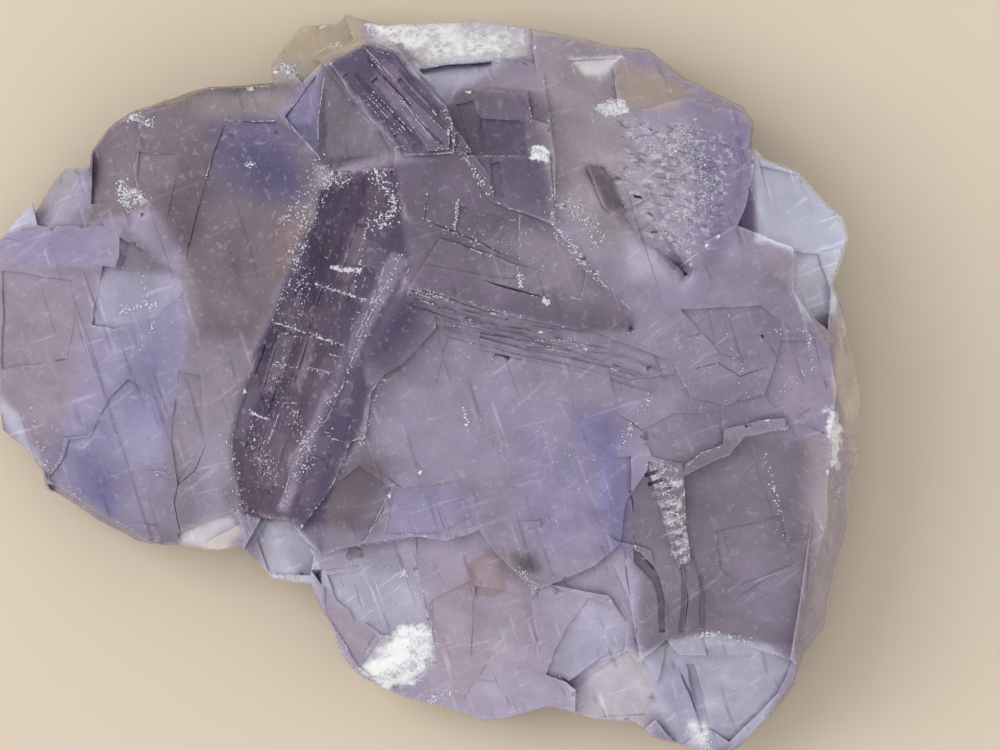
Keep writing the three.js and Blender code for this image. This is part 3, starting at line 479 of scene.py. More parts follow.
# Groups of sparkles: how many, mean size in mm, and the line along which they lie, with their scatter.
SPARKLES = [
    (50, 0.11, 0.3, [(33.5, 17.6), (30.2, 25), (27.6, 31.6)]),
    (60, 0.12, 0.5, [(40.5, 25), (36.6, 32.5), (34.4, 38.4), (30.6, 44.1), (28.1, 50.8)]),
    (50, 0.10, 1.6, [(30, 29), (28, 36), (27, 42)]),
    (30, 0.12, 0.25, [(31.6, 28.4), (36.7, 30.1)]),
    (24, 0.12, 0.25, [(27.3, 32.2), (30.7, 33.3), (34.6, 34.6)]),
    (16, 0.12, 0.25, [(27.3, 36.4), (33.3, 37.3)]),
    (20, 0.12, 0.25, [(25, 41.2), (26.8, 42)]),
    (30, 0.12, 0.3, [(38.4, 37.4), (36.5, 43.8), (33.2, 48.7)]),
    (16, 0.12, 0.2, [(42.8, 19.6), (42.5, 22), (45.3, 23.3), (48, 24.4)]),
    (16, 0.12, 0.2, [(45.8, 20.3), (45.5, 23.3)]),
    (24, 0.11, 0.3, [(41, 28.5), (44.5, 29.7), (52.4, 31.9)]),
    (30, 0.10, 3.0, [(45, 20), (54, 26)]),
    (40, 0.10, 5.0, [(45, 36), (58, 48)]),
    (40, 0.10, 4.0, [(70, 32), (74, 40)]),
    (60, 0.13, 0.9, [(32.4, 17.9), (34.6, 18)]),
    (90, 0.14, 0.8, [(37.5, 17.3), (39, 19), (39.6, 21), (37.6, 23)]),
    (50, 0.16, 0.25, [(33.2, 26.8), (36.2, 27.2)]),
    (90, 0.12, 1.0, [(31, 20), (29.5, 26), (30.5, 30)]),
    (60, 0.11, 0.9, [(29, 41), (31, 44), (30, 48)]),
    (60, 0.10, 1.4, [(25, 43), (27, 48)]),
    (24, 0.12, 0.4, [(38.5, 17), (36.5, 24), (35.5, 29)]),
    (14, 0.16, 0.3, [(51.9, 27.6), (52, 28.6)]),
    (12, 0.18, 0.3, [(54.3, 30), (54.8, 30.4)]),
    (90, 0.12, 0.5, [(55.4, 18.1), (55.4, 22.6), (57, 24.7), (59, 27.1), (60.3, 28.5)]),
    (70, 0.12, 1.2, [(56.8, 20), (58.8, 22.5), (59.8, 25)]),
    (40, 0.13, 0.5, [(44.9, 11), (45.2, 14), (47.5, 17.4), (49.2, 19.6)]),
    (26, 0.18, 0.5, [(53.2, 15), (54.6, 15.8)]),
    (40, 0.22, 0.7, [(60, 10.9), (62.4, 10.7)]),
    (120, 0.13, 1.8, [(64, 15), (69, 14), (71, 18), (68, 24)]),
    (26, 0.13, 0.4, [(77, 33.1), (80.7, 33.1), (81.1, 36.9), (77, 39.8)]),
    (26, 0.12, 0.5, [(65.3, 39.2), (61.6, 45.2)]),
    (6, 0.2, 0.2, [(46.4, 40.7), (46.7, 43)]),
    (2, 0.22, 0.1, [(42, 47.2), (42, 47.2)]),
    (26, 0.15, 0.6, [(12.6, 11.6), (15.5, 12.4)]),
    (50, 0.16, 0.7, [(12, 18.5), (12.6, 20.4), (14.2, 19.6)]),
    (12, 0.14, 0.4, [(24.6, 16.3), (25.5, 16.4)]),
    (40, 0.12, 1.0, [(28, 22.9), (30.3, 19.5), (32.4, 15.5)]),
    (70, 0.2, 0.9, [(37, 68.5), (41.5, 66.5), (42, 63.5)]),
    (40, 0.12, 0.5, [(43, 62.8), (43.3, 66), (41.8, 68.2)]),
    (16, 0.16, 0.4, [(45.4, 69.1), (42.8, 70.4)]),
    (10, 0.2, 0.3, [(40.4, 57.1), (40.3, 57.4)]),
    (14, 0.12, 0.6, [(53.8, 58.8), (51.8, 56.9)]),
    (40, 0.14, 0.5, [(65.2, 46.5), (67.2, 50), (68.4, 56)]),
    (20, 0.14, 0.4, [(69.6, 63.3), (73.4, 63.7), (75, 64.2)]),
    (16, 0.16, 0.4, [(11.8, 31), (16, 30.4)]),
    (24, 0.12, 0.5, [(3, 41.2), (4, 46), (9, 51)]),
    (16, 0.14, 0.4, [(14, 27), (15.4, 32.6), (13.6, 35)]),
    (40, 0.15, 0.6, [(27.8, 6.2), (29.6, 7.4)]),
    (14, 0.12, 0.3, [(32.8, 4.6), (34, 4.4)]),
    (50, 0.18, 0.8, [(37, 3.2), (43.5, 3.6)]),
    (30, 0.14, 0.5, [(83, 41), (83.6, 46.5), (83.9, 52)]),
    (20, 0.12, 0.4, [(77.3, 52.9), (78.7, 54), (76.4, 45.4)]),
    (40, 0.12, 1.2, [(23, 44), (24, 51), (26, 53)]),
    (20, 0.16, 0.5, [(69.6, 73), (71, 75)]),
]

# Where the relief is rich, so that the mesh is finer there.
RICH_PLACES = [
    [(33, 17), (30, 25), (26, 34), (23, 44), (24, 52), (32, 56), (34, 48), (38, 38), (42, 28), (40, 16)],
    [(40, 27), (52, 31), (67, 34), (66, 38), (50, 34), (42, 31)],
    [(33, 6), (38, 4.5), (45, 11), (46, 16), (40, 16)],
    [(44, 9), (53, 9.5), (55.5, 14), (56, 23), (48, 20.5)],
    [(61, 11.5), (75.5, 12), (75, 20), (71, 26.5), (67, 28), (61, 20)],
    [(64, 45), (69, 46), (69.5, 57), (67, 57)],
    [(36, 66), (43, 62.5), (43, 69), (37, 70)],
    [(36, 2), (46, 2), (46, 5), (38, 5)],
]

# Crisp small faces: how far each lies below its surroundings in mm, its tilt along x and y, its colour
# and how strong that is, and its outline.
FACETS = [
    # The fractures in front, whose pale facets are partly their own pale colour and partly painted sheen.
    (0.2, (0.03, 0.02), ICE, 0.35, [(58.9, 59.7), (62.7, 62.2), (62.4, 65), (59.9, 66.6), (57.1, 68.4),
        (54.6, 67.5), (55.5, 65), (56.7, 62.5)]),
    (0.15, (-0.03, 0.03), PEARL, 0.5, [(62.7, 65), (65.5, 69.4), (64.6, 71.6), (58.6, 71.9), (57.7, 68.7),
        (59.9, 66.9)]),
    (0.2, (0.02, -0.02), ICE, 0.3, [(66.7, 64.1), (68.9, 66.6), (70.5, 73.1), (68, 75), (65.5, 72),
        (65.6, 69)]),
    (0.35, (0, 0.03), PERIWINKLE, 0.4, [(68.6, 66.4), (69.4, 66.4), (71.2, 73.2), (70.2, 73.4)]),
    (0.2, (0.03, 0), ICE, 0.3, [(70.5, 63.2), (74.9, 64.7), (79.2, 66.2), (78, 69.4), (73, 74.4),
        (71, 73)]),
    (0.15, (-0.03, -0.02), ICE, 0.4, [(34.9, 54.9), (41.6, 54.4), (42.1, 59.4), (39, 58), (36.1, 57)]),
    (0.3, (0.03, 0.03), ICE, 0.5, [(36.1, 57), (40.2, 57), (42.1, 59.4), (43.3, 64.1), (38, 63.5),
        (33.5, 60), (32.6, 57.5)]),
    (0.25, (-0.04, 0.02), ROSE, 0.4, [(32.4, 58.7), (35, 60.5), (37.5, 63.6), (35.8, 66.9),
        (32.4, 61.2)]),
    (0.06, (0, 0), PEARL, 0.8, [(35.8, 66.9), (38, 63.8), (43.3, 63.8), (43.3, 66), (41.7, 68.1),
        (38, 68.7)]),
    (0.2, (0.05, 0), ICE, 0.4, [(26.7, 51.9), (29.2, 51.9), (31.4, 55.6), (31, 57.6), (26.7, 57.5),
        (25.6, 54)]),
    (0.12, (0.03, 0.03), LILAC, 0.2, [(47.5, 58.5), (52.5, 59.5), (54, 64), (52, 68.5), (47, 68)]),
    (0.12, (-0.03, 0.02), ROSE, 0.25, [(43, 60), (47, 58), (49, 66), (46, 70.5), (43.5, 68)]),
    (0.15, (0, 0), linear(24, 22, 26), 1.0, [(65.1, 69.4), (65.3, 69.3), (65.5, 69.5), (65.4, 69.7),
        (65.2, 69.7)]),
    # The left lobe, whose pale bluish facets are partly their own colour and partly painted sheen.
    (0.15, (0.03, -0.03), ICE, 0.25, [(10.2, 26.5), (18.2, 27.9), (18.4, 29.3), (15.5, 31.8),
        (11.4, 32.9), (9.1, 32.5), (9.8, 28.4)]),
    (0.25, (0.02, 0.02), PERIWINKLE, 0.3, [(12.7, 37.9), (10.9, 39.7), (8.9, 43.8), (6.6, 44),
        (5.9, 46.1), (4.5, 47.9), (8, 51), (14, 53), (16.6, 47.7), (16, 40)]),
    (0.12, (0.03, 0), BLUE, 0.3, [(10.2, 41.5), (8.6, 45.2), (7.3, 47), (8.2, 48.4), (11.4, 51.5),
        (11.4, 44.3)]),
    (0.12, (0, 0.03), LILAC, 0.3, [(10, 44.3), (12.7, 45.9), (14.1, 46.3), (15, 47.5), (16.6, 47.7),
        (17.9, 53), (12, 52), (11.2, 48)]),
    (0.15, (-0.02, 0), MAUVE, 0.3, [(17.8, 37), (20, 37.5), (20.4, 44), (17.6, 48.6), (17, 44)]),
    (0.2, (0, 0.03), MAUVE, 0.4, [(4.3, 48.4), (7.5, 48.8), (10, 50.6), (12, 52.5), (14.1, 52.9),
        (15.5, 55), (12, 55.5), (8, 53)]),
    (0.25, (0, 0.06), PEARL, 0.7, [(17.5, 53.4), (23.2, 51.3), (23.9, 52.5), (20, 54.7), (17.7, 54)]),
    (0.1, (0.02, 0.05), ICE, 0.3, [(2.5, 18.4), (6.8, 16.5), (8.6, 17.9), (8.4, 20.2), (5, 22.7),
        (3.5, 22.5)]),
    (0.12, (0.02, 0.01), MAUVE, 0.25, [(0, 27), (7, 28), (7.5, 31), (6.5, 36), (0, 37)]),
    # The rounded mass.
    (0.05, (0.02, 0.02), SMOKE, 0.3, [(13.8, 15.2), (18, 15.4), (18.2, 18.6), (15.5, 19), (13.6, 18)]),
    (0.05, (0.02, 0), UMBER, 0.35, [(18, 15.5), (20.9, 16), (20, 21), (18.6, 25.2), (16.5, 22.5),
        (17.3, 19)]),
    (0.1, (0.03, 0.02), PLUM, 0.4, [(9.2, 14.5), (12, 11.5), (14, 12.3), (13.5, 16), (11.5, 20),
        (9, 20.4)]),
    # The back rim and the dark cubes.
    (0.15, (0, -0.04), SNOW, 0.4, [(38, 2.2), (42.2, 2.1), (49, 1.9), (52.5, 2.8), (53, 5.8), (42.2, 6.7),
        (39.4, 3.5)]),
    (0.2, (0.03, 0.02), PERIWINKLE, 0.4, [(41.9, 6.9), (51.2, 5.9), (48.3, 9.1), (45.8, 9.2), (45, 11)]),
    (0.2, (0.04, 0.04), BLUE, 0.35, [(28.5, 11.5), (31.6, 7.6), (31.9, 13), (32, 15.8)]),
    (0.1, (-0.03, 0), PEARL, 0.2, [(32.8, 7.2), (34.6, 9.6), (37.5, 12.6), (39.6, 15.8), (33, 16)]),
    (0.25, (0, 0), INK, 0.25, [(48, 12.2), (52.4, 12.3), (52.8, 15.7), (48.2, 15.7)]),
    (0.25, (0.02, 0), VIOLET, 0.3, [(45.6, 10.6), (47.4, 10.2), (48.6, 15.5), (47.2, 15.8)]),
    (0.2, (0, 0), VIOLET, 0.3, [(48.9, 16.6), (50, 16.4), (50.4, 20), (49.4, 19.8)]),
    # The upper right.
    (0.2, (0, 0), INK, 0.45, [(58.6, 16.8), (60.4, 16.8), (62.4, 20.8), (61.9, 21.8), (60.6, 21.2)]),
    (0.15, (0, 0), SNOW, 0.5, [(56.9, 6.1), (62.2, 5.8), (60.6, 7.8), (58.3, 7.8)]),
    # The pale plate at the right: partly its own pale colour, partly painted sheen.
    (0.12, (0.02, 0.02), ICE, 0.3, [(76, 16.5), (80, 17.5), (84.5, 22), (84.8, 25), (82, 25),
        (79.5, 24.5), (76.5, 23.8)]),
    (0.2, (0.04, 0.02), PEARL, 0.4, [(79.5, 25.1), (82, 25.4), (83.2, 29.1), (82.8, 33), (81, 31.5),
        (79.4, 29.1)]),
    # The right side and the front right crystal.
    (0.12, (0.03, 0.02), PLUM, 0.15, [(68, 31), (76, 30.6), (80, 33.5), (77.5, 36.5), (72, 35.5)]),
    (0.1, (-0.02, 0.02), LILAC, 0.2, [(62, 38), (67.3, 37.4), (68.5, 41), (64.1, 43), (61.7, 41.4)]),
    (0.15, (0.02, 0), PLUM, 0.2, [(64.1, 43), (67.3, 41.4), (72, 41), (72, 44.4), (68.4, 46.4),
        (65, 45.6)]),
    (0.1, (0.02, 0.02), ROSE, 0.25, [(78, 34), (81.5, 34), (82.8, 40), (79, 42), (76.5, 39.6)]),
    (0.15, (0, 0.02), LILAC, 0.2, [(71.5, 53), (78, 51.5), (79.5, 56.5), (74, 58.5), (72, 57)]),
    # Dark facets along the grooves of the front right crystal: painted shade in the grooves.
    (0.3, (0, 0), INK, 0.4, [(63.3, 54.8), (64, 55.5), (65.8, 57.6), (66.4, 60), (66.5, 63.3),
        (65.9, 63.3), (65.7, 60), (65.1, 58), (63.3, 56.2)]),
    (0.15, (0, 0), INK, 0.3, [(68, 56.4), (68.6, 56.6), (68.5, 60), (68.3, 63.3), (67.8, 63.3),
        (68, 60)]),
    (0.1, (0, 0), INK, 0.25, [(69.8, 57.5), (70.3, 57.6), (70.5, 60), (70.4, 62.5), (69.9, 62.5)]),
    # The plateau and the main face.
    (0.12, (0.03, 0.03), PLUM, 0.25, [(42.7, 19.6), (45.8, 20.4), (45.4, 23.2), (42.5, 22.2)]),
    (0.2, (0, 0.03), PLUM, 0.3, [(46, 20.6), (51.9, 22.4), (51.8, 26.2), (48, 24.6), (45.6, 23.5)]),
    (0.12, (-0.02, 0), MAUVE, 0.3, [(52.2, 22.6), (55.2, 23.4), (58.5, 27.4), (58, 30), (52.4, 28.3)]),
    (0.15, (0, 0.02), MAUVE, 0.2, [(42, 23), (50, 26.2), (51.7, 28), (48, 27.6), (42, 26.5)]),
    (0.08, (0, 0), PERIWINKLE, 0.2, [(39.4, 48.9), (46, 48), (47.3, 51.6), (44, 53.3), (38.5, 53.5)]),
    (0.06, (0, 0), PERIWINKLE, 0.2, [(59.8, 45.8), (63, 45.6), (63.2, 51), (62, 54.3), (60.2, 53)]),
]

# Where worn edges show white: how much, outline.
WORN = [
    (0.6, [(33, 17), (30, 25), (26, 34), (23, 44), (24, 52), (32, 56), (34, 48), (38, 38), (42, 28),
        (40, 16)]),
    (0.8, [(40, 16), (49, 20), (56, 22), (66, 33), (64, 36), (52, 33.5), (41, 29)]),
    (0.8, [(33, 5), (38, 4), (46, 11), (46, 16.5), (33, 17)]),
    (0.8, [(44, 9), (54, 9), (56, 23), (48, 20)]),
    (0.7, [(64, 45), (69, 46), (72, 43), (79, 41), (79, 44), (70, 58), (66, 57)]),
    (0.8, [(31, 52), (45, 52), (45, 70), (34, 70)]),
]

# The stepped wall's outline.
WALL = [(33.3, 17.2), (31.9, 21.1), (28.1, 29.3), (24.7, 37.9), (23.3, 44.1), (24.2, 51), (31.5, 54.5),
        (33.2, 48.7), (36.5, 41.6), (36.6, 35), (41, 26.8), (40, 17)]

# Where the crystals are fused and their edges soft: how soft, softness of the outline in mm, outline.
MELTED = [
    (1.0, 0.8, [(17, 10), (33, 9), (33, 17), (31, 30), (27, 34), (19, 34), (14, 24), (16, 14)]),
    (1.0, 0.8, [(16.6, 36), (19.6, 36), (20.4, 57), (16.5, 57)]),
    (1.0, 0.8, [(57, 28), (67, 28), (68, 36), (60, 36.5)]),
    (0.8, 0.6, [(60.4, 11), (63.6, 11), (62.9, 18), (65.5, 23), (69.8, 26), (69, 29), (62, 24.5),
        (59.4, 18)]),
    (0.8, 0.6, [(67, 30), (70, 25.6), (75, 23.5), (76, 25), (71, 27.5), (69, 31)]),
    (0.5, 1.0, [(-1, 24), (17, 28), (17, 50), (2, 46)]),
    (0.35, 0.4, [(33.5, 17.5), (30, 25), (27, 32.5), (23.6, 44), (24.2, 51), (28.6, 52), (39.5, 17.4)]),
]


def plan_of(points):
    """Plan positions in mm of points in metres."""
    return np.column_stack((points[:, 0] / MM + MIDDLE[0], MIDDLE[1] - points[:, 1] / MM))


def smooth(low, high, value):
    """0 below low, 1 above high, and a smooth rise between them."""
    share = np.clip((value - low) / (high - low), 0, 1)
    return share * share * (3 - 2 * share)


def noise(points, size, seed):
    """Smooth noise from -1 to 1 at points in mm, with bumps about size mm across."""
    places = points / size + seed * SEED_STEP
    cell = np.floor(places).astype(np.int64)
    part = places - cell
    part = part * part * (3 - 2 * part)
    total = np.zeros(len(points))
    for corner in itertools.product((0, 1), repeat=points.shape[1]):
        key = (cell + corner) @ NOISE_FACTORS[: points.shape[1]]
        key = (key ^ (key >> 13)) * NOISE_MIX & 0xFFFFFFFF
        value = ((key ^ (key >> 15)) & 0xFFFF) / 32767.5 - 1
        total += value * np.prod(np.where(corner, part, 1 - part), axis=1)
    return total


def layered_noise(points, size, seed):
    """Noise with a finer layer on it."""
    return noise(points, size, seed) * 0.7 + noise(points, size * 0.43, seed + 1) * 0.3


def bumps(kind, places, layer):
    """A layer of one kind of noise: the layer gives the height and size of its bumps, and its seed."""
    height, size, seed = layer
    return height * kind(places, size, seed)


def wandered(places, layers):
    """Plan positions moved a little way by noise, by one layer each way."""
    return places + np.column_stack([bumps(noise, places, layer) for layer in layers])


def unit(vector):
    """A vector of length 1."""
    return vector / max(np.linalg.norm(vector), 1e-9)


def units(vectors):
    """Many vectors, each made 1 long."""
    return vectors / np.maximum(np.linalg.norm(vectors, axis=1, keepdims=True), 1e-20)


def distance_to(line, places):
    """Distance in mm from each place to a line, negative on the left going along it."""
    best = np.full(len(places), np.inf)
    side = np.ones(len(places))
    for start, end in zip(line[:-1], line[1:]):
        along = np.subtract(end, start)
        length = max(math.hypot(*along), 1e-9)
        offset = places - start
        share = np.clip(offset @ along / length ** 2, 0, 1)
        gap = np.linalg.norm(offset - share[:, None] * along, axis=1)
        nearer = gap < best
        best[nearer] = gap[nearer]
        cross = along[0] * offset[:, 1] - along[1] * offset[:, 0]
        side[nearer] = np.where(cross[nearer] < 0, -1, 1)
    return best * side


def inside(outline, places):
    """Distance in mm from each place to the outline, positive inside it."""
    ring = [*outline, outline[0]]
    within = np.zeros(len(places), bool)
    for (x0, y0), (x1, y1) in zip(ring[:-1], ring[1:]):
        if y0 == y1:
            continue
        crossing = x0 + (places[:, 1] - y0) * (x1 - x0) / (y1 - y0)
        within ^= ((places[:, 1] < y0) != (places[:, 1] < y1)) & (places[:, 0] < crossing)
    return np.abs(distance_to(ring, places)) * np.where(within, 1, -1)


class Sheet:
    """A value over the plan, held on a fine square grid."""

    def __init__(self, value):
        self.values = np.tile(np.atleast_1d(np.asarray(value, float)), (*GRID_SIZE, 1))

    @classmethod
    def zoned(cls, value, zones):
        """A sheet of one value with zones painted in: value, softness and outline of each."""
        sheet = cls(value)
        for amount, softness, outline in zones:
            sheet.paint(outline, amount, 1.0, softness)
        return sheet

    def window(self, shape, reach):
        """The part of the grid round a shape, with the plan positions of its points."""
        low = np.floor((np.min(shape, axis=0) - reach - GRID_START) / GRID).astype(int)
        high = np.ceil((np.max(shape, axis=0) + reach - GRID_START) / GRID).astype(int)
        low = np.clip(low, 0, None)
        y, x = np.mgrid[low[1]:min(high[1], GRID_SIZE[0]), low[0]:min(high[0], GRID_SIZE[1])]
        part = self.values[low[1]:high[1], low[0]:high[0]]
        return part, np.column_stack((x.ravel(), y.ravel())) * GRID + GRID_START

    def paint(self, outline, value, strength, softness):
        """Mixes a value in, inside an outline with a soft edge."""
        part, places = self.window(outline, softness)
        mask = strength * smooth(-softness, softness, inside(outline, places))
        part += mask.reshape(part.shape[:2])[..., None] * (np.atleast_1d(value) - part)

    def at(self, places):
        """The value at plan positions, blended between the grid's points."""
        spot = np.clip((places - GRID_START) / GRID, 0, np.array(GRID_SIZE[::-1]) - 1.01)
        cell = spot.astype(int)
        along, down = (spot - cell).T[:, :, None]
        column, row = cell.T
        values = self.values
        near_row = values[row, column] * (1 - along) + values[row, column + 1] * along
        far_row = values[row + 1, column] * (1 - along) + values[row + 1, column + 1] * along
        return near_row * (1 - down) + far_row * down


def halved(corners, labels, marked, middles, longest):
    """Splits each face at the middles of its marked edges, of which the longest is always one."""
    turn = (longest[:, None] + np.arange(3)) % 3
    rows = np.arange(len(corners))[:, None]
    corners, marked, middles = corners[rows, turn], marked[rows, turn], middles[rows, turn]
    whole = ~marked[:, 0]
    kept, kept_labels = corners[whole], labels[whole]
    corners, middles, marked, labels = (x[~whole] for x in (corners, middles, marked, labels))
    first, second, third = corners.T
    bottom, right, left = middles.T
    has_right, has_left = marked[:, 1], marked[:, 2]
    parts = [
        (kept, kept_labels),
        (np.column_stack((first, bottom, np.where(has_left, left, third))), labels),
        (np.column_stack((left, bottom, third))[has_left], labels[has_left]),
        (np.column_stack((bottom, second, np.where(has_right, right, third))), labels),
        (np.column_stack((bottom, right, third))[has_right], labels[has_right]),
    ]
    return np.vstack([part for part, _ in parts]), np.concatenate([part for _, part in parts])


def sides_of(faces):
    """The two ends of each face's three sides, the lower number first."""
    return np.sort(faces[:, [0, 1, 1, 2, 2, 0]].reshape(-1, 2), axis=1)


def edges_of(points, faces):
    """The ends of every edge, and the numbers of each face's three edges."""
    ends = sides_of(faces)
    keys = ends[:, 0] * len(points) + ends[:, 1]
    _, first, edge_of = np.unique(keys, return_index=True, return_inverse=True)
    return ends[first], edge_of.reshape(-1, 3)


def refined(points, faces, labels, longest_edge):
    """The same surface with no edge longer than longest_edge(middles) says, in mm."""
    while True:
        ends, edge_of = edges_of(points, faces)
        a, b = points[ends[:, 0]], points[ends[:, 1]]
        lengths = np.linalg.norm(b - a, axis=1) / MM
        marked = lengths > longest_edge((a + b) / 2)
        if not marked.any():
            return points, faces, labels
        longest = np.argmax(lengths[edge_of], axis=1)
        longest_of = edge_of[np.arange(len(faces)), longest]
        while True:
            wanting = marked[edge_of].any(axis=1) & ~marked[longest_of]
            if not wanting.any():
                break
            marked[longest_of[wanting]] = True
        middles = np.cumsum(marked) - 1 + len(points)
        points = np.vstack((points, ((a + b) / 2)[marked]))
        faces, labels = halved(faces, labels, marked[edge_of], middles[edge_of], longest)


def longest_over(sheet):
    """The rule for the longest edge: the sheet's value on top, and coarser below and underneath."""
    def longest(middles):
        height = middles[:, 2] / MM
        wanted = sheet.at(plan_of(middles))[:, 0]
        wanted[height < RELIEF_FULL] = SIDE_EDGE
        wanted[height < FOOT_HEIGHT] = UNDER_EDGE
        return wanted
    return longest


def melted(points, faces):
    """Softens the cliffs between blocks where the crystals are fused."""
    sheet = Sheet.zoned(0.0, MELTED)
    weight = sheet.at(plan_of(points)) * smooth(RELIEF_START, RELIEF_FULL, points[:, 2:] / MM)
    ends, _ = edges_of(points, faces)
    one, other = ends.T
    size = len(points)
    count = np.bincount(one, minlength=size) + np.bincount(other, minlength=size)
    for _ in range(MELT_ROUNDS):
        mean = np.empty_like(points)
        for axis in range(3):
            values = points[:, axis]
            total = np.bincount(one, values[other], size) + np.bincount(other, values[one], size)
            mean[:, axis] = total / np.maximum(count, 1)
        points = points + MELT_STEP * weight * (mean - points)
    return points


def gridded(points, faces):
    """The same surface with flat faces merged, cut along a square grid and made of triangles again."""
    solid = bmesh.new()
    solid.from_mesh(mesh_from("grid", points, faces))
    bmesh.ops.dissolve_limit(solid, angle_limit=FLAT_ANGLE, verts=solid.verts, edges=solid.edges)
    low, high = points.min(axis=0), points.max(axis=0)
    for axis, step in enumerate((PLAN_CUT, PLAN_CUT, LEVEL_CUT)):
        normal = [float(axis == other) for other in range(3)]
        for level in np.arange(low[axis] + FIRST_CUT * step * MM, high[axis], step * MM):
            place = [level * share for share in normal]
            everything = [*solid.verts, *solid.edges, *solid.faces]
            bmesh.ops.bisect_plane(solid, geom=everything, dist=1e-8, plane_co=place, plane_no=normal)
    return triangles_of(solid)[:2]


def triangles_of(solid):
    """A bmesh made of triangles, as points, faces and material slots. It is freed."""
    bmesh.ops.triangulate(solid, faces=solid.faces)
    mesh = bpy.data.meshes.new("triangles")
    keep_slots(mesh)
    solid.to_mesh(mesh)
    solid.free()
    return arrays_of(mesh)


def tidied(points, faces, slots):
    """The surface without the slivers that carving leaves."""
    mesh = mesh_from("tidy", points, faces)
    keep_slots(mesh)
    mesh.polygons.foreach_set("material_index", slots)
    solid = bmesh.new()
    solid.from_mesh(mesh)
    bmesh.ops.dissolve_degenerate(solid, edges=solid.edges, dist=SLIVER * MM)
    return triangles_of(solid)


def keep_slots(mesh):
    """Makes room for the crystal's material slots, so that faces keep theirs."""
    for _ in (FACE, FURROW, BREAK):
        mesh.materials.append(None)


def cad_surface(node):
    """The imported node's points in metres and its faces, with equal points merged."""
    points, faces, _ = arrays_of(node.data)
    rounded = np.round(points / MM, 4)
    _, first, merged = np.unique(rounded, axis=0, return_index=True, return_inverse=True)
    faces = merged.reshape(-1)[faces]
    whole = (faces[:, 0] != faces[:, 1]) & (faces[:, 1] != faces[:, 2]) & (faces[:, 2] != faces[:, 0])
    return points[first], faces[whole]


def face_normals(points, faces):
    """Unit normals of the faces."""
    a, b, c = (points[faces[:, corner]] for corner in range(3))
    return units(np.cross(b - a, c - a))


def point_normals(points, faces):
    """Unit normals at the points, the mean of the faces around each."""
    normals = np.zeros_like(points)
    of_faces = face_normals(points, faces)
    for corner in range(3):
        np.add.at(normals, faces[:, corner], of_faces)
    return units(normals)


def outer_creases(points, faces):
    """The edges, how sharply each turns outwards from 0, flat, to 1, square, and which way is out."""
    ends = sides_of(faces)
    keys = ends[:, 0] * len(points) + ends[:, 1]
    order = np.argsort(keys, kind="stable")
    starts = np.flatnonzero(np.diff(keys[order], prepend=-1))
    starts = starts[np.diff(starts, append=len(keys)) == 2]
    pairs = np.column_stack((order[starts], order[starts + 1]))
    normals = face_normals(points, faces)
    middles = points[faces].mean(axis=1)
    one, other = pairs[:, 0] // 3, pairs[:, 1] // 3
    turn = 1 - np.sum(normals[one] * normals[other], axis=1)
    hollow = np.sum((middles[other] - middles[one]) * normals[one], axis=1) > 0
    turn[hollow] = 0
    outward = normals[one] + normals[other]
    return ends[pairs[:, 0]], np.clip(turn, 0, 1), outward


def relief(places, frost):
    """Height in mm that the smallest relief gives at plan positions."""
    height = bumps(layered_noise, places, SWELL) + bumps(layered_noise, places, RIPPLE)
    rough = np.abs(bumps(noise, places, FROST_LUMPS)) + bumps(noise, places, FROST_GRAINS)
    return height + frost * rough


def frost_at(places):
    """How frosted each plan position is, from 0 to 1."""
    return Sheet.zoned(0.0, FROST).at(wandered(places, FROST_WANDER))[:, 0]


def clear_at(places):
    """How clear the crystal is at plan positions, from 0 to 1."""
    return Sheet.zoned(BODY_TRANSMISSION, CLEAR).at(places)[:, 0]


def growth_bands(places):
    """Faint straight bands along the growth directions of the cubes, about 1."""
    turned = places @ np.array([ALONG_CREST, ACROSS_CREST])
    total = 1 + bumps(noise, places, GROWTH_CLOUD)
    for strength, stretch, size, seed in GROWTH_BANDS:
        total += strength * noise(turned * stretch, size, seed)
    return total


def tint_at(places, shades):
    """The crystal's colour at plan positions, with the painted shade and sheen among its zones."""
    sheet = Sheet(LILAC)
    for colour, strength, softness, outline in ZONES:
        sheet.paint(outline, colour, strength, softness)
    crisp = Sheet(LILAC)
    crisp.values = sheet.values.copy()
    for colour, strength, softness, outline in shades:
        crisp.paint(outline, colour, strength, softness)
    tint = sheet.at(wandered(places, ZONE_WANDER)) + crisp.at(places) - sheet.at(places)
    return np.clip(tint * growth_bands(places)[:, None], DARKEST, 1)


def corner_places(points, faces):
    """Where each face's corners take their colour: a little inwards, so that zones meet at the edges."""
    middles = points[faces].mean(axis=1)[:, None]
    inwards = points[faces] * (1 - CORNER_INSET) + middles * CORNER_INSET
    inwards -= CORNER_DEPTH * MM * face_normals(points, faces)[:, None]
    return plan_of(inwards.reshape(-1, 3))


def roughened(points, faces, frost, box):
    """Moves the points by the smallest relief, and keeps them in the CAD box and on its flat foot."""
    spots = points / MM
    height = spots[:, 2]
    above = smooth(RELIEF_START, RELIEF_FULL, height)
    away = smooth(FOOT_HEIGHT, RELIEF_START, height)
    moved = spots.copy()
    sways = [bumps(layered_noise, spots, broad) + bumps(noise, spots, fine) for broad, fine in SWAYS]
    moved[:, :2] += np.column_stack(sways) * away[:, None]
    normals = point_normals(points, faces)
    side = smooth(*SIDE_STEEPNESS, 1 - np.abs(normals[:, 2])) * away
    moved += (side * bumps(layered_noise, spots, SIDE_BUMPS))[:, None] * normals
    moved[:, 2] += relief(plan_of(points), frost) * above
    low, high = (np.array(corner) / MM for corner in box)
    moved = np.clip(moved, low, high)
    moved[height < FOOT_HEIGHT, 2] = low[2]
    return moved * MM


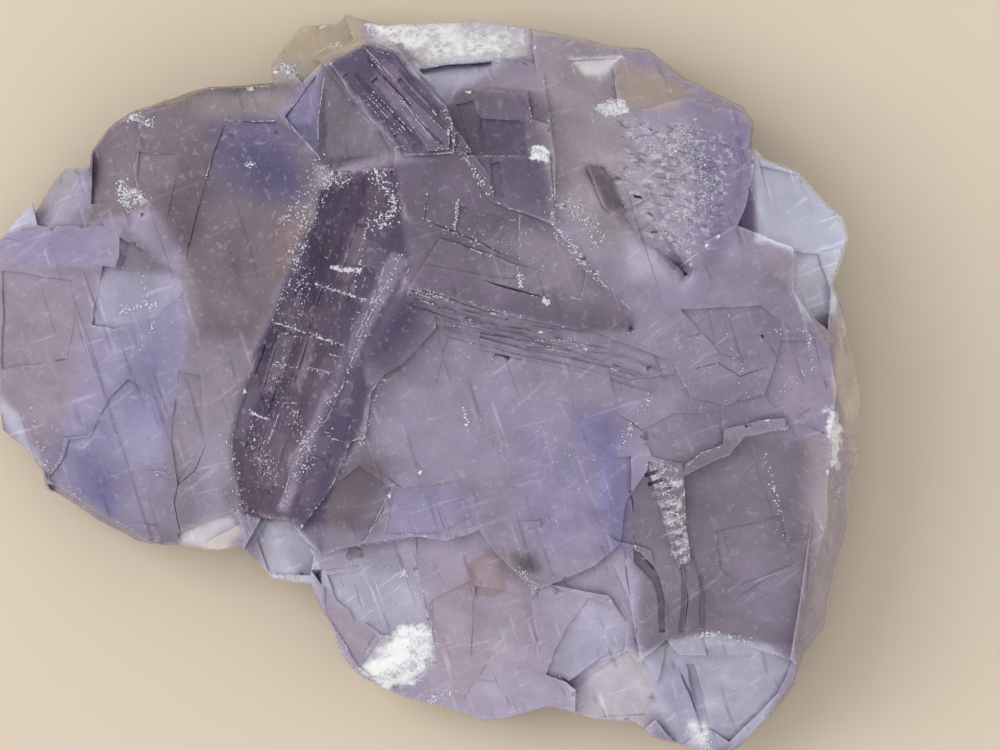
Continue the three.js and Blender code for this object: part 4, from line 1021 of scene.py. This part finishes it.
def mesh_from(name, points, faces):
    """A new mesh of triangles."""
    mesh = bpy.data.meshes.new(name)
    mesh.vertices.add(len(points))
    mesh.vertices.foreach_set("co", np.asarray(points, np.float32).ravel())
    mesh.loops.add(len(faces) * 3)
    mesh.loops.foreach_set("vertex_index", np.asarray(faces, np.int32).ravel())
    mesh.polygons.add(len(faces))
    mesh.polygons.foreach_set("loop_start", np.arange(0, len(faces) * 3, 3, dtype=np.int32))
    mesh.update(calc_edges=True)
    return mesh


def linked(name, data):
    """A new object in the scene."""
    made = bpy.data.objects.new(name, data)
    bpy.context.scene.collection.objects.link(made)
    return made


def placed(name, mesh, *materials):
    """A new piece of the object, riding on its body."""
    piece = linked(name, mesh)
    for material in materials:
        mesh.materials.append(material)
    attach(piece, "root")
    return piece


# How far apart the solids of one batch stay, in mm, the softness of a facet's shade, how far apart
# the sections of a strip lie, and the share of its size that it has at its ends.
APART = 0.05
SHADE_EDGE = 0.04
STRIP_PACE = 1.1
STRIP_TIP = 0.25

# The bricks of the wall, in mm: where the first band lies across the crest, how far apart bands are,
# where they begin and end along it, and the plan line behind which there are none.
WALL_SIDE = 35.6
WALL_PITCH = 1.3
WALL_START = 4.0
WALL_END = 44
WALL_TOP = 20

# How far apart the terraces of the ridge lie.
RIDGE_PITCH = 0.6

# Striations of the tilted dark cube: start, side, length, width and drop, in mm along its own edges.
STRIATIONS = [
    (29.2, 19.8, 9.6, 0.5, 0.18),
    (30.0, 20.7, 9.6, 0.35, 0.12),
    (31.5, 21.5, 8.4, 0.8, 0.25),
    (29.6, 22.7, 6.5, 0.4, 0.16),
    (33.2, 23.4, 7.0, 0.55, 0.2),
    (30.4, 24.2, 8.2, 0.35, 0.14),
    (37.0, 19.4, 2.2, 0.7, 0.2),
    (36.8, 22.2, 4.2, 0.3, 0.3),
]

# The mottled cube corner at the upper right.
MOTTLED = [(62.6, 12.6), (68.5, 12.2), (73.8, 14.2), (73.4, 19.5), (71.2, 25), (68.9, 26.6), (64.2, 23),
           (61.8, 18.3)]


class Carver:
    """Small closed solids that are cut out of the crystal or added to it, made where its surface is."""

    def __init__(self, points, faces):
        self.tree = BVHTree.FromPolygons(points.tolist(), faces.tolist())
        self.batches = []
        self.shades = []

    def level(self, place):
        """Height in mm of the surface at a plan position."""
        height = surface_height(self.tree, *place)
        return 0.0 if height is None else height

    def sampled(self, outline, share):
        """Places at an outline's middle and a share of the way to its corners, and their levels."""
        middle = np.mean(outline, axis=0)
        spots = [middle] + [middle + share * (np.array(corner) - middle) for corner in outline]
        return np.array([(*spot, 1) for spot in spots]), np.array([self.level(spot) for spot in spots])

    def plane(self, outline):
        """The height field through the surface inside an outline, as slopes and a start."""
        rows, levels = self.sampled(outline, 0.6)
        return np.linalg.lstsq(rows, levels, rcond=None)[0]

    def unevenness(self, outline):
        """How far, in mm, the surface inside an outline strays from a plane."""
        rows, levels = self.sampled(outline, 0.9)
        return np.abs(levels - rows @ self.plane(outline)).max()

    def talus(self, reach, _, line):
        """Fills the foot of a cliff with a slope. Its lower side is on the right, going along it."""
        self.strip("UNION", FACE, line, [(-0.35, -0.04), (reach, -0.12), (0.35, -2.5)])

    def keep(self, operation, slot, points, faces):
        """Puts a solid in the first batch that none of its solids touches."""
        points = np.array(points, float)
        low, high = points.min(axis=0) - APART, points.max(axis=0) + APART
        for batch in self.batches:
            clear = all(np.any(low > box[1]) or np.any(high < box[0]) for box in batch["boxes"])
            if batch["kind"] == (operation, slot) and clear:
                break
        else:
            batch = {"kind": (operation, slot), "boxes": [], "heap": Heap()}
            self.batches.append(batch)
        batch["boxes"].append((low, high))
        batch["heap"].add(points.tolist(), faces)

    def lower(self, outline, drop, shade, tilt=(0, 0)):
        """Lowers the surface inside an outline to a plane a drop below its own, tilted and shaded."""
        self.shades.append((*shade, SHADE_EDGE, outline))
        a, b, c = self.plane(outline)
        middle = np.mean(outline, axis=0)
        a, b, c = a + tilt[0], b + tilt[1], c - np.dot(tilt, middle)
        count = len(outline)
        floor = [(x, y, a * x + b * y + c - drop) for x, y in outline]
        sky = [(x, y, SKY_HEIGHT + drop) for x, y in outline]
        cap = tessellate_polygon([[Vector((x, y, 0)) for x, y in outline]])
        faces = [tuple(face) for face in cap]
        faces += [(i + count, k + count, j + count) for i, j, k in cap]
        for i in range(count):
            j = (i + 1) % count
            faces += [(i, j, i + count), (j, j + count, i + count)]
        self.keep("DIFFERENCE", FACE, floor + sky, faces)

    def lower_even(self, outline, drop, shade, limit, softness):
        """Lowers the surface if it strays from a plane by less than a limit, and else only shades it."""
        if self.unevenness(outline) < limit:
            self.lower(outline, drop, shade)
        else:
            self.shades.append((*shade, softness, outline))

    def strip(self, operation, slot, line, sections):
        """A three-sided strip along a line. Each section is (across, above the surface) in mm."""
        rows = []
        spots = list(walk(line, STRIP_PACE)) + [(np.array(line[-1]), np.subtract(line[-1], line[-2]))]
        for number, (spot, along) in enumerate(spots):
            from_end = min(number, len(spots) - 1 - number)
            share = min(1.0, STRIP_TIP + (1 - STRIP_TIP) * from_end / 2)
            across = leftwards(unit(along))
            row = []
            for sideways, above in sections:
                place = spot + across * sideways * share
                row.append((*place, self.level(place) + above * (share if above < 0 else 1)))
            rows.append(row)
        heap = Heap()
        ribbon(heap, rows)
        self.keep(operation, slot, heap.points, heap.faces)

    def groove(self, half_width, depth, line):
        """A furrow, a little narrower and shallower than it is named, as it looks wider than it is."""
        reach = 0.55 * half_width
        self.strip("DIFFERENCE", FURROW, line, [(-reach, 0.06), (0, -0.6 * depth), (reach, 0.06)])

    def step(self, half_width, depth, line):
        """A small cliff, whose lower side rises again over eight half widths."""
        sections = [(-0.05, 0.1), (0.04, -depth), (8 * half_width, 0.03)]
        self.strip("DIFFERENCE", FACE, line, sections)

    def ridge(self, half_width, height, line):
        """A low ridge."""
        sections = [(-half_width, -0.2), (0, height), (half_width, -0.2)]
        self.strip("UNION", FACE, line, sections)

    def carved(self, points, faces):
        """The crystal after all cuts and additions, with the material slot of each face."""
        mesh = mesh_from("carving", points, faces)
        keep_slots(mesh)
        work = linked("carving", mesh)
        cutters = []
        for batch in self.batches:
            cutter_mesh = batch["heap"].mesh("cutter")
            outwards(cutter_mesh)
            keep_slots(cutter_mesh)
            operation, slot = batch["kind"]
            cutter_mesh.polygons.foreach_set("material_index", [slot] * len(cutter_mesh.polygons))
            cutter = linked("cutter", cutter_mesh)
            cutters.append(cutter)
            modifier = work.modifiers.new("cut", "BOOLEAN")
            modifier.object = cutter
            modifier.operation = operation
            modifier.solver = "MANIFOLD"
        evaluated = work.evaluated_get(bpy.context.evaluated_depsgraph_get())
        result = bpy.data.meshes.new_from_object(evaluated)
        surface = arrays_of(result)
        for used in (work, *cutters):
            bpy.data.objects.remove(used)
        return surface


def outwards(mesh):
    """Turns all faces of closed solids outwards."""
    solid = bmesh.new()
    solid.from_mesh(mesh)
    bmesh.ops.recalc_face_normals(solid, faces=solid.faces)
    solid.to_mesh(mesh)
    solid.free()


def arrays_of(mesh):
    """A mesh's points in metres, its triangles, and their material slots."""
    mesh.calc_loop_triangles()
    points = np.empty(len(mesh.vertices) * 3)
    mesh.vertices.foreach_get("co", points)
    faces = np.empty(len(mesh.loop_triangles) * 3, np.int32)
    mesh.loop_triangles.foreach_get("vertices", faces)
    slots = np.empty(len(mesh.loop_triangles), np.int32)
    mesh.loop_triangles.foreach_get("material_index", slots)
    return points.reshape(-1, 3), faces.reshape(-1, 3).astype(np.int64), slots


def leftwards(along):
    """The direction to the left of another, where y grows to the front."""
    return np.array([-along[1], along[0]])


def turned_box(along, across, start, size):
    """The corners of a box in plan: start and size are measured along and across."""
    corners = np.array([(0, 0), (1, 0), (1, 1), (0, 1)]) * size + start
    return [tuple(first * along + second * across) for first, second in corners]


def carve_wall(carver, chance):
    """Cleavage bricks on the stepped wall: long bands along its crest, cut across."""
    for band in range(WALL_BANDS):
        side = WALL_SIDE + WALL_PITCH * band
        start = WALL_START + chance.uniform(0, 3)
        while start < WALL_END:
            length = chance.uniform(2.2, 6.4)
            width = WALL_PITCH + chance.uniform(-0.3, 0.5)
            corner = (start, side + chance.uniform(-0.2, 0.2))
            outline = turned_box(ALONG_CREST, ACROSS_CREST, corner, (length, width))
            on_wall = inside(WALL, np.array(outline)).min() > 0.1 and outline[0][1] > WALL_TOP
            if on_wall and chance.random() < 0.9:
                shade = (chance.choice((INK, INK, VIOLET, PLUM, DUSK)), chance.uniform(0.15, 0.5))
                drop = chance.choice((0.05, 0.08, 0.12, 0.18))
                carver.lower_even(outline, drop, shade, 0.25, 0.15)
            start += length + chance.uniform(-0.02, 1.2)


def carve_ridge(carver, chance):
    """Fine wavy terraces along the ridge above the main face."""
    ridge = [(41.2, 28.9), (44.5, 30), (48, 31.1), (52.4, 32.1), (57, 33.1), (61, 34), (65.5, 35.6)]
    for step in range(RIDGE_STEPS):
        away = RIDGE_PITCH * step
        upper = [(x, y + away + chance.uniform(-0.2, 0.2)) for x, y in ridge[step // 3:]]
        lower = [(x, y + chance.uniform(0.3, 0.5)) for x, y in upper]
        for first in range(len(upper) - 1):
            outline = [upper[first], upper[first + 1], lower[first + 1], lower[first]]
            shade = (chance.choice((VIOLET, LILAC)), chance.uniform(0.1, 0.4))
            carver.lower(outline, chance.uniform(0.05, 0.12), shade)


def carve_cubes(carver, chance):
    """Striations along the tilted dark cube."""
    along = np.array([0.682, 0.731])
    across = np.array([0.731, -0.682])
    for start, side, length, width, drop in STRIATIONS:
        shade = (chance.choice((INK, LILAC, PLUM)), chance.uniform(0.2, 0.5))
        carver.lower(turned_box(along, across, (start, side), (length, width)), drop, shade)


def carve_mottle(carver, chance):
    """Small shallow etch pits, close together, on the cube corner at the upper right."""
    for _ in range(PITS):
        middle = np.array((chance.uniform(61.6, 74), chance.uniform(12, 26.6)))
        if inside(MOTTLED, middle[None])[0] < 0.3:
            continue
        turn = chance.uniform(-0.25, 0.6)
        along = np.array((math.cos(turn), math.sin(turn)))
        across = leftwards(along)
        bend = chance.uniform(-0.25, 0.25)
        reach, wide = chance.uniform(0.4, 1.3), chance.uniform(0.07, 0.16)
        upper = [(-1, bend), (-0.3, wide), (0.4, wide + bend), (1, 0)]
        lower = [(0.4, bend - wide), (-0.3, -wide)]
        pit = [tuple(middle + along * x * reach + across * y) for x, y in upper + lower]
        shade = (chance.choice((PLUM, DUSK, PEARL, FOG)), chance.uniform(0.15, 0.4))
        drop = chance.uniform(0.05, 0.12)
        carver.lower_even(pit, drop, shade, 0.06, CRISP)


def carve_ladder(carver, chance):
    """Cross cuts that make the white ladder on the front right crystal."""
    start, end = np.array((65.4, 46.9)), np.array((68.4, 56.2))
    along = unit(end - start)
    across = leftwards(along)
    for rung in range(RUNGS):
        spot = start + along * rung
        size = (0.42, 2.3 - 0.12 * rung)
        begin = (spot @ along, spot @ across - size[1] / 2)
        shade = (chance.choice((PEARL, DUSK)), chance.uniform(0.3, 0.7))
        carver.lower(turned_box(along, across, begin, size), 0.2 + chance.uniform(0, 0.15), shade)


def carve_chips(carver, points, faces, chance):
    """Small chips broken from outward edges all over the top."""
    ends, sharp, _ = outer_creases(points, faces)
    middles = points[ends].mean(axis=1) / MM
    lengths = np.linalg.norm(points[ends[:, 0]] - points[ends[:, 1]], axis=1) / MM
    fit = np.flatnonzero((sharp > 0.25) & (middles[:, 2] > RELIEF_FULL) & (lengths > 0.8))
    for _ in range(CHIPS):
        edge = ends[chance.choice(fit)]
        share = chance.random()
        spot = (points[edge[0]] * share + points[edge[1]] * (1 - share)) / MM
        heap = Heap()
        crumb(heap, from_above(spot), chance.uniform(0.15, 0.6), chance)
        carver.keep("DIFFERENCE", chance.choice((FACE, FACE, BREAK)), heap.points, heap.faces)


def carved_crystal(points, faces):
    """The crystal with its steps, grooves, ridges, bricks, pits and chips."""
    chance = random.Random(5)
    carver = Carver(points, faces)
    for kind, width, size, line in RELIEF_LINES:
        getattr(carver, kind)(width, size, line)
    for drop, tilt, colour, strength, outline in FACETS:
        carver.lower(outline, drop, (colour, strength), tilt)
    carve_wall(carver, chance)
    carve_ridge(carver, chance)
    carve_cubes(carver, chance)
    carve_mottle(carver, chance)
    carve_ladder(carver, chance)
    carve_chips(carver, points, faces, chance)
    return carver.shades, carver.carved(points, faces)


def crystal_piece():
    """The crystal with its fine relief, colour zones and frosted places."""
    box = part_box("fluorite_crystal")
    points, faces = gridded(*cad_surface(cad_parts["fluorite_crystal"]))
    points = melted(points, faces)
    shades, (points, faces, slots) = carved_crystal(points, faces)
    points, faces, slots = tidied(points, faces, slots)
    rich = [*RICH_PLACES, *(outline for _, _, outline in FROST)]
    fine = Sheet.zoned(SMOOTH_EDGE, [(RICH_EDGE, CRISP, outline) for outline in rich])
    points, faces, slots = refined(points, faces, slots, longest_over(fine))
    frost = frost_at(plan_of(points))
    tint = tint_at(corner_places(points, faces), shades)
    clear = clear_at(plan_of(points)) * (1 - FROST_DULLS * frost)
    creases = outer_creases(points, faces)
    points = roughened(points, faces, frost, box)
    mesh = mesh_from("crystal", points, faces)
    colours = np.column_stack((tint, np.ones(len(tint)))).astype(np.float32)
    mesh.attributes.new("tint", "FLOAT_COLOR", "CORNER").data.foreach_set("color", colours.ravel())
    for name, values in (("frost", frost), ("clear", clear)):
        attribute = mesh.attributes.new(name, "FLOAT", "POINT")
        attribute.data.foreach_set("value", values.astype(np.float32))
    mesh.polygons.foreach_set("use_smooth", np.ones(len(faces), bool))
    piece = placed("crystal", mesh, fluorite_material(), furrow_material(), glint_material())
    mesh.polygons.foreach_set("material_index", slots.astype(np.int32))
    mesh.set_sharp_from_angle(angle=CREASE_ANGLE)
    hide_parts("fluorite_crystal")
    return points, faces, creases


def new_material(name):
    """A new material, its node tree and its shader."""
    material = bpy.data.materials.new(name)
    material.use_nodes = True
    tree = material.node_tree
    shader = tree.nodes["Principled BSDF"]
    return material, tree, shader


def add(tree, kind, **values):
    """A new node: set_ names are settings, in_ numbers and other names inputs, which sockets link to."""
    node = tree.nodes.new(kind)
    for name, value in values.items():
        if name.startswith("set_"):
            setattr(node, name[4:], value)
            continue
        key = int(name[3:]) if name.startswith("in_") else name
        if isinstance(value, bpy.types.NodeSocket):
            tree.links.new(value, node.inputs[key])
        else:
            node.inputs[key].default_value = value
    return node


def mixed(tree, factor, first, second, blend="MIX"):
    """The colour socket of a mix of two colours."""
    node = add(tree, "ShaderNodeMix", set_data_type="RGBA", set_blend_type=blend, Factor=factor)
    for number, value in ((6, first), (7, second)):
        if isinstance(value, bpy.types.NodeSocket):
            tree.links.new(value, node.inputs[number])
        else:
            node.inputs[number].default_value = (*value, 1)
    return node.outputs[2]


def ranged(tree, value, low, high, new_low, new_high):
    """A number moved from one range to another, and held in it."""
    names = {"From Min": low, "From Max": high, "To Min": new_low, "To Max": new_high}
    return add(tree, "ShaderNodeMapRange", Value=value, **names).outputs[0]


def noise_socket(tree, place, scale, detail, roughness=0.6):
    """Noise at an object place, with bumps 1/scale metres across."""
    values = {"Vector": place, "Scale": scale, "Detail": detail, "Roughness": roughness}
    return add(tree, "ShaderNodeTexNoise", **values).outputs[0]


def cloudy(tree, place, scale, detail, low, high):
    """A number from low to high that follows the middle range of some noise."""
    return ranged(tree, noise_socket(tree, place, scale, detail), 0.3, 0.7, low, high)


def weighted_sum(tree, first, second, weight):
    """The first number and the weighted second one."""
    share = add(tree, "ShaderNodeMath", set_operation="MULTIPLY", in_0=second, in_1=weight).outputs[0]
    return add(tree, "ShaderNodeMath", set_operation="ADD", in_0=first, in_1=share).outputs[0]


def attribute(tree, name, output):
    """What the mesh says at a place."""
    return add(tree, "ShaderNodeAttribute", set_attribute_name=name).outputs[output]


def object_place(tree):
    """The place on the object, in metres."""
    return add(tree, "ShaderNodeTexCoord").outputs["Object"]


def fluorite_material():
    """Cloudy violet fluorite: see-through, with colour zones, wisps, pale edges and frosted places."""
    material, tree, shader = new_material("fluorite")
    place = object_place(tree)
    tint = attribute(tree, "tint", "Color")

    colour = mixed(tree, 1.0, tint, cloudy(tree, place, 160, 3, 0.86, 1.14), "MULTIPLY")
    pale = mixed(tree, 1.0, tint, PALER, "MULTIPLY")
    wisps = ranged(tree, noise_socket(tree, place, 300, 5, 0.72), 0.48, 0.8, 0.0, 0.26)
    colour = mixed(tree, wisps, colour, pale)
    for turn, stretch in CLEAVAGES:
        cleaved = ranged(tree, streaks(tree, place, turn, stretch), 0.64, 0.72, 0.0, 0.5)
        colour = mixed(tree, cleaved, colour, pale)
    dark_streaks = ranged(tree, streaks(tree, place, *DARK_CLEAVAGE), 0.3, 0.36, 0.3, 0.0)
    colour = mixed(tree, dark_streaks, colour, INK)

    crumbly = ranged(tree, noise_socket(tree, place, 1300, 3, 0.7), 0.35, 0.62, 0.0, 1.0)
    frost = weighted_sum(tree, attribute(tree, "frost", "Fac"), crumbly, 0.55)
    white = ranged(tree, frost, 0.5, 1.0, 0.0, 1.0)
    colour = mixed(tree, white, colour, SNOW)
    tree.links.new(colour, shader.inputs["Base Color"])

    polish = cloudy(tree, place, 240, 2, 0.16, 0.36)
    tree.links.new(weighted_sum(tree, polish, white, 0.4), shader.inputs["Roughness"])

    ripples = noise_socket(tree, place, 700, 3, 0.65)
    bump = add(tree, "ShaderNodeBump", Strength=0.35, Distance=0.0001, Height=ripples)
    tree.links.new(bump.outputs[0], shader.inputs["Normal"])

    shader.inputs["IOR"].default_value = IOR
    tree.links.new(attribute(tree, "clear", "Fac"), shader.inputs["Transmission Weight"])
    shader.inputs["Subsurface Weight"].default_value = CLOUDINESS
    shader.inputs["Subsurface Radius"].default_value = CLOUD_RADIUS
    shader.inputs["Subsurface Scale"].default_value = CLOUD_REACH
    absorb(tree)
    return material


def streaks(tree, place, turn, stretch):
    """Noise drawn out into long thin streaks that lie turned in plan."""
    turned = add(tree, "ShaderNodeMapping", Vector=place, Rotation=(0, 0, turn)).outputs[0]
    drawn = add(tree, "ShaderNodeMapping", Vector=turned, Scale=stretch).outputs[0]
    return noise_socket(tree, drawn, 1, 2)


def furrow_material():
    """The same crystal in the depth of a groove, darkened towards ink by painted shade."""
    material, tree, shader = new_material("groove_painted_shade_fluorite")
    place = object_place(tree)
    # How much painted shade darkens the groove.
    depth = cloudy(tree, place, 300, 3, 0.3, 0.6)
    tree.links.new(mixed(tree, depth, attribute(tree, "tint", "Color"), INK), shader.inputs["Base Color"])
    tree.links.new(cloudy(tree, place, 500, 3, 0.2, 0.4), shader.inputs["Roughness"])
    shader.inputs["IOR"].default_value = IOR
    shader.inputs["Transmission Weight"].default_value = BODY_TRANSMISSION
    absorb(tree)
    return material


def absorb(tree):
    """The violet that light takes on inside the crystal."""
    absorption = tree.nodes.new("ShaderNodeVolumeAbsorption")
    absorption.inputs["Color"].default_value = ABSORBED
    absorption.inputs["Density"].default_value = ABSORPTION
    tree.links.new(absorption.outputs[0], tree.nodes["Material Output"].inputs["Volume"])


def glint_material():
    """Frosted white breaks, and white crumbs that are painted sparkles: highlights given as a bright
    white colour.
    """
    material, tree, shader = new_material("frosted_breaks_and_painted_sparkles")
    place = object_place(tree)
    shade = cloudy(tree, place, 1600, 3, 0.0, 1.0)
    tree.links.new(mixed(tree, shade, BREAK_AND_SPARKLE_DULL, BREAK_AND_SPARKLE_BRIGHT), shader.inputs["Base Color"])
    tree.links.new(cloudy(tree, place, 2100, 2, 0.15, 0.5), shader.inputs["Roughness"])
    shader.inputs["IOR"].default_value = IOR
    shader.inputs["Transmission Weight"].default_value = BREAK_TRANSMISSION
    return material


def from_above(spot):
    """Plan position and height in mm of a place on the object, also in mm."""
    return spot[0] + MIDDLE[0], MIDDLE[1] - spot[1], spot[2]


def surface_height(tree, x, y):
    """Height in mm of the crystal's top at a plan position, or None beside it."""
    start = Vector(((x - MIDDLE[0]) * MM, (MIDDLE[1] - y) * MM, 1))
    hit = tree.ray_cast(start, Vector((0, 0, -1)))
    return None if hit[0] is None else hit[0].z / MM


def walk(line, step):
    """Points every step mm along a line, with the direction at each."""
    for start, end in zip(line[:-1], line[1:]):
        along = np.subtract(end, start)
        length = math.hypot(*along)
        for share in np.arange(0, length, step) / max(length, 1e-9):
            yield np.add(start, along * share), along / max(length, 1e-9)


class Heap:
    """Gathers many small closed solids into one mesh. Points are in mm: plan x, plan y, height."""

    def __init__(self):
        self.points = []
        self.faces = []

    def add(self, points, faces):
        start = len(self.points)
        self.points.extend(points)
        self.faces.extend([start + number for number in face] for face in faces)

    def mesh(self, name, limits=None):
        """The gathered solids as a mesh, held between two corners in metres if limits gives them."""
        x, y, height = np.transpose(self.points)
        points = np.column_stack((x - MIDDLE[0], MIDDLE[1] - y, height)) * MM
        if limits:
            points = np.clip(points, *limits)
        return mesh_from(name, points, np.array(self.faces)[:, ::-1])


def ribbon(heap, rows):
    """A closed, three-sided strip through rows of (left, ridge, right) points."""
    points = [point for row in rows for point in row]
    faces = [(0, 1, 2)]
    for row in range(len(rows) - 1):
        for side in range(3):
            a = row * 3 + side
            b = row * 3 + (side + 1) % 3
            faces += [(a, a + 3, b), (b, a + 3, b + 3)]
    last = (len(rows) - 1) * 3
    faces.append((last, last + 2, last + 1))
    heap.add(points, faces)


def glint_line(heap, tree, half_width, share, line, chance):
    """A broken, ragged white ridge along a line on the surface."""
    rows = []
    wave = chance.uniform(0, 9)
    for number, (spot, along) in enumerate(walk(line, GLINT_PACE)):
        waves = math.sin(number * 0.31 + wave) + math.sin(number * 0.83 + 2 * wave)
        shown = waves + chance.uniform(-1, 1) < 2.6 * (2 * share - 1) + 0.4
        height = surface_height(tree, *spot) if shown else None
        if height is None:
            if len(rows) > 1:
                ribbon(heap, rows)
            rows = []
            continue
        half = half_width * chance.uniform(0.45, 1.25)
        across = leftwards(along)
        middle = spot + across * chance.uniform(-0.04, 0.04)
        left, right = middle - across * half, middle + across * half
        top = height + half * chance.uniform(0.5, 1.0)
        root = height - GLINT_ROOT
        rows.append([(*left, root), (*middle, top), (*right, root)])
    if len(rows) > 1:
        ribbon(heap, rows)


# The pace of the sections of a white line and how deep it stands in the surface, in mm.
GLINT_PACE = 0.14
GLINT_ROOT = 0.08

CRUMB_CORNERS = [(1, 0, 0), (-1, 0, 0), (0, 1, 0), (0, -1, 0), (0, 0, 1), (0, 0, -1)]
CRUMB_FACES = [(0, 2, 4), (2, 1, 4), (1, 3, 4), (3, 0, 4), (2, 0, 5), (1, 2, 5), (3, 1, 5), (0, 3, 5)]


def crumb(heap, place, size, chance):
    """A tiny cleavage crumb: an eight-sided chip, turned any way."""
    angle = chance.uniform(0, 6.3)
    axis = Vector([chance.gauss(0, 1) for _ in range(3)]).normalized()
    turn = Matrix.Rotation(angle, 3, axis)
    sizes = [size * chance.uniform(0.5, 1.3) for _ in CRUMB_CORNERS]
    points = [turn @ Vector(corner) * reach for corner, reach in zip(CRUMB_CORNERS, sizes)]
    heap.add([(place[0] + p.x, place[1] + p.y, place[2] + p.z) for p in points], CRUMB_FACES)


def crease_glints(heap, points, creases, chance):
    """Thin white wear on the outward edges, broken by noise, with painted sparkles, white crumbs, dotted
    along them.
    """
    ends, sharp, outward = creases
    spots = points[ends].mean(axis=1) / MM
    outward = units(outward)
    sheet = Sheet.zoned(0.0, [(amount, 0.5, outline) for amount, outline in WORN])
    wear = noise(spots, 2.2, 81) + 0.5 * noise(spots, 0.7, 82) + 0.35 * sharp
    wear += 0.5 * sheet.at(plan_of(points[ends].mean(axis=1)))[:, 0]
    chosen = (sharp > 0.12) & (wear > 1.05) & (spots[:, 2] > RELIEF_FULL) & (outward[:, 2] > 0.1)
    for (first, second), normal in zip(ends[chosen], outward[chosen]):
        a, b = points[first] / MM, points[second] / MM
        # A dotted crumb is a painted sparkle on the edge.
        if chance.random() < DOTTED_SHARE:
            spot = a + (b - a) * chance.random()
            crumb(heap, from_above(spot), chance.uniform(0.04, 0.12), chance)
            continue
        across = np.cross(unit(b - a), normal) * chance.uniform(0.02, 0.045)
        rise = normal * chance.uniform(0.01, 0.03)
        sink = normal * 0.05
        rows = [[spot - across - sink, spot + rise, spot + across - sink] for spot in (a, b)]
        ribbon(heap, [[from_above(spot) for spot in row] for row in rows])


def glint_piece(tree, points, creases):
    """All the white lines and sparkles."""
    chance = random.Random(17)
    heap = Heap()
    crease_glints(heap, points, creases, chance)
    for half_width, share, line in GLINT_LINES:
        glint_line(heap, tree, half_width, share, line, chance)
    for count, size, scatter, line in SPARKLES:
        spots = [spot for spot, _ in walk(line, 0.05)] or [np.array(line[0])]
        for _ in range(round(count * SPARKLE_SHARE)):
            spot = chance.choice(spots) + [chance.gauss(0, scatter / 2) for _ in range(2)]
            height = surface_height(tree, *spot)
            if height is not None:
                crumb(heap, (*spot, height), size * chance.uniform(0.3, 1.2), chance)
    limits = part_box("fluorite_crystal")
    return placed("break_glints", heap.mesh("break_glints", limits), glint_material())


def stage():
    """Plain pale floor, soft light, and the camera straight above."""
    scene = bpy.context.scene
    bpy.ops.mesh.primitive_plane_add(size=FLOOR_SIZE, location=(0, 0, -FLOOR_GAP))
    floor = bpy.context.object
    floor.name = "floor"
    material, _, shader = new_material("floor")
    shader.inputs["Base Color"].default_value = (*FLOOR, 1)
    shader.inputs["Roughness"].default_value = FLOOR_ROUGHNESS
    floor.data.materials.append(material)

    world = bpy.data.worlds.new("studio")
    world.use_nodes = True
    background = world.node_tree.nodes["Background"]
    background.inputs["Color"].default_value = ROOM_COLOUR
    background.inputs["Strength"].default_value = ROOM_LIGHT
    scene.world = world

    light = bpy.data.lights.new("softbox", "AREA")
    light.size = SOFTBOX_SIZE
    light.energy = SOFTBOX_POWER
    softbox = linked("softbox", light)
    softbox.location = SOFTBOX_PLACE
    softbox.rotation_euler = (-Vector(softbox.location)).to_track_quat("-Z", "Y").to_euler()
    softbox.visible_camera = False
    softbox.visible_glossy = False

    camera = bpy.data.cameras.new("camera")
    camera.sensor_width = SENSOR
    camera.lens = SENSOR * VIEW_DISTANCE / (VIEW_WIDTH * MM)
    camera.clip_end = VIEW_END
    viewer = linked("camera", camera)
    x, y = (VIEW_CENTRE[0] - MIDDLE[0]) * MM, (MIDDLE[1] - VIEW_CENTRE[1]) * MM
    viewer.location = (x, y, VIEW_DISTANCE + VIEW_LEVEL)
    scene.camera = viewer

    scene.view_settings.view_transform = "Standard"
    scene.cycles.use_adaptive_sampling = True
    scene.cycles.adaptive_threshold = 0.03
    scene.cycles.use_denoising = True
    scene.cycles.max_bounces = 6
    scene.cycles.transmission_bounces = 5
    scene.cycles.diffuse_bounces = 2
    scene.cycles.caustics_reflective = False


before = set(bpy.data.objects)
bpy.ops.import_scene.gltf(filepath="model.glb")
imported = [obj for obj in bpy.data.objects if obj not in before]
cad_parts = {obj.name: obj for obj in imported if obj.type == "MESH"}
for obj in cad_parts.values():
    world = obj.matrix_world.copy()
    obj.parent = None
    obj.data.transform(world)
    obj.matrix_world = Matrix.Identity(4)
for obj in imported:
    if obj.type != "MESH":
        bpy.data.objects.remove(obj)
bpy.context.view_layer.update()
stage()
crystal_points, crystal_faces, crystal_creases = crystal_piece()
surface = BVHTree.FromPolygons(crystal_points.tolist(), crystal_faces.tolist())
glint_piece(surface, crystal_points, crystal_creases)
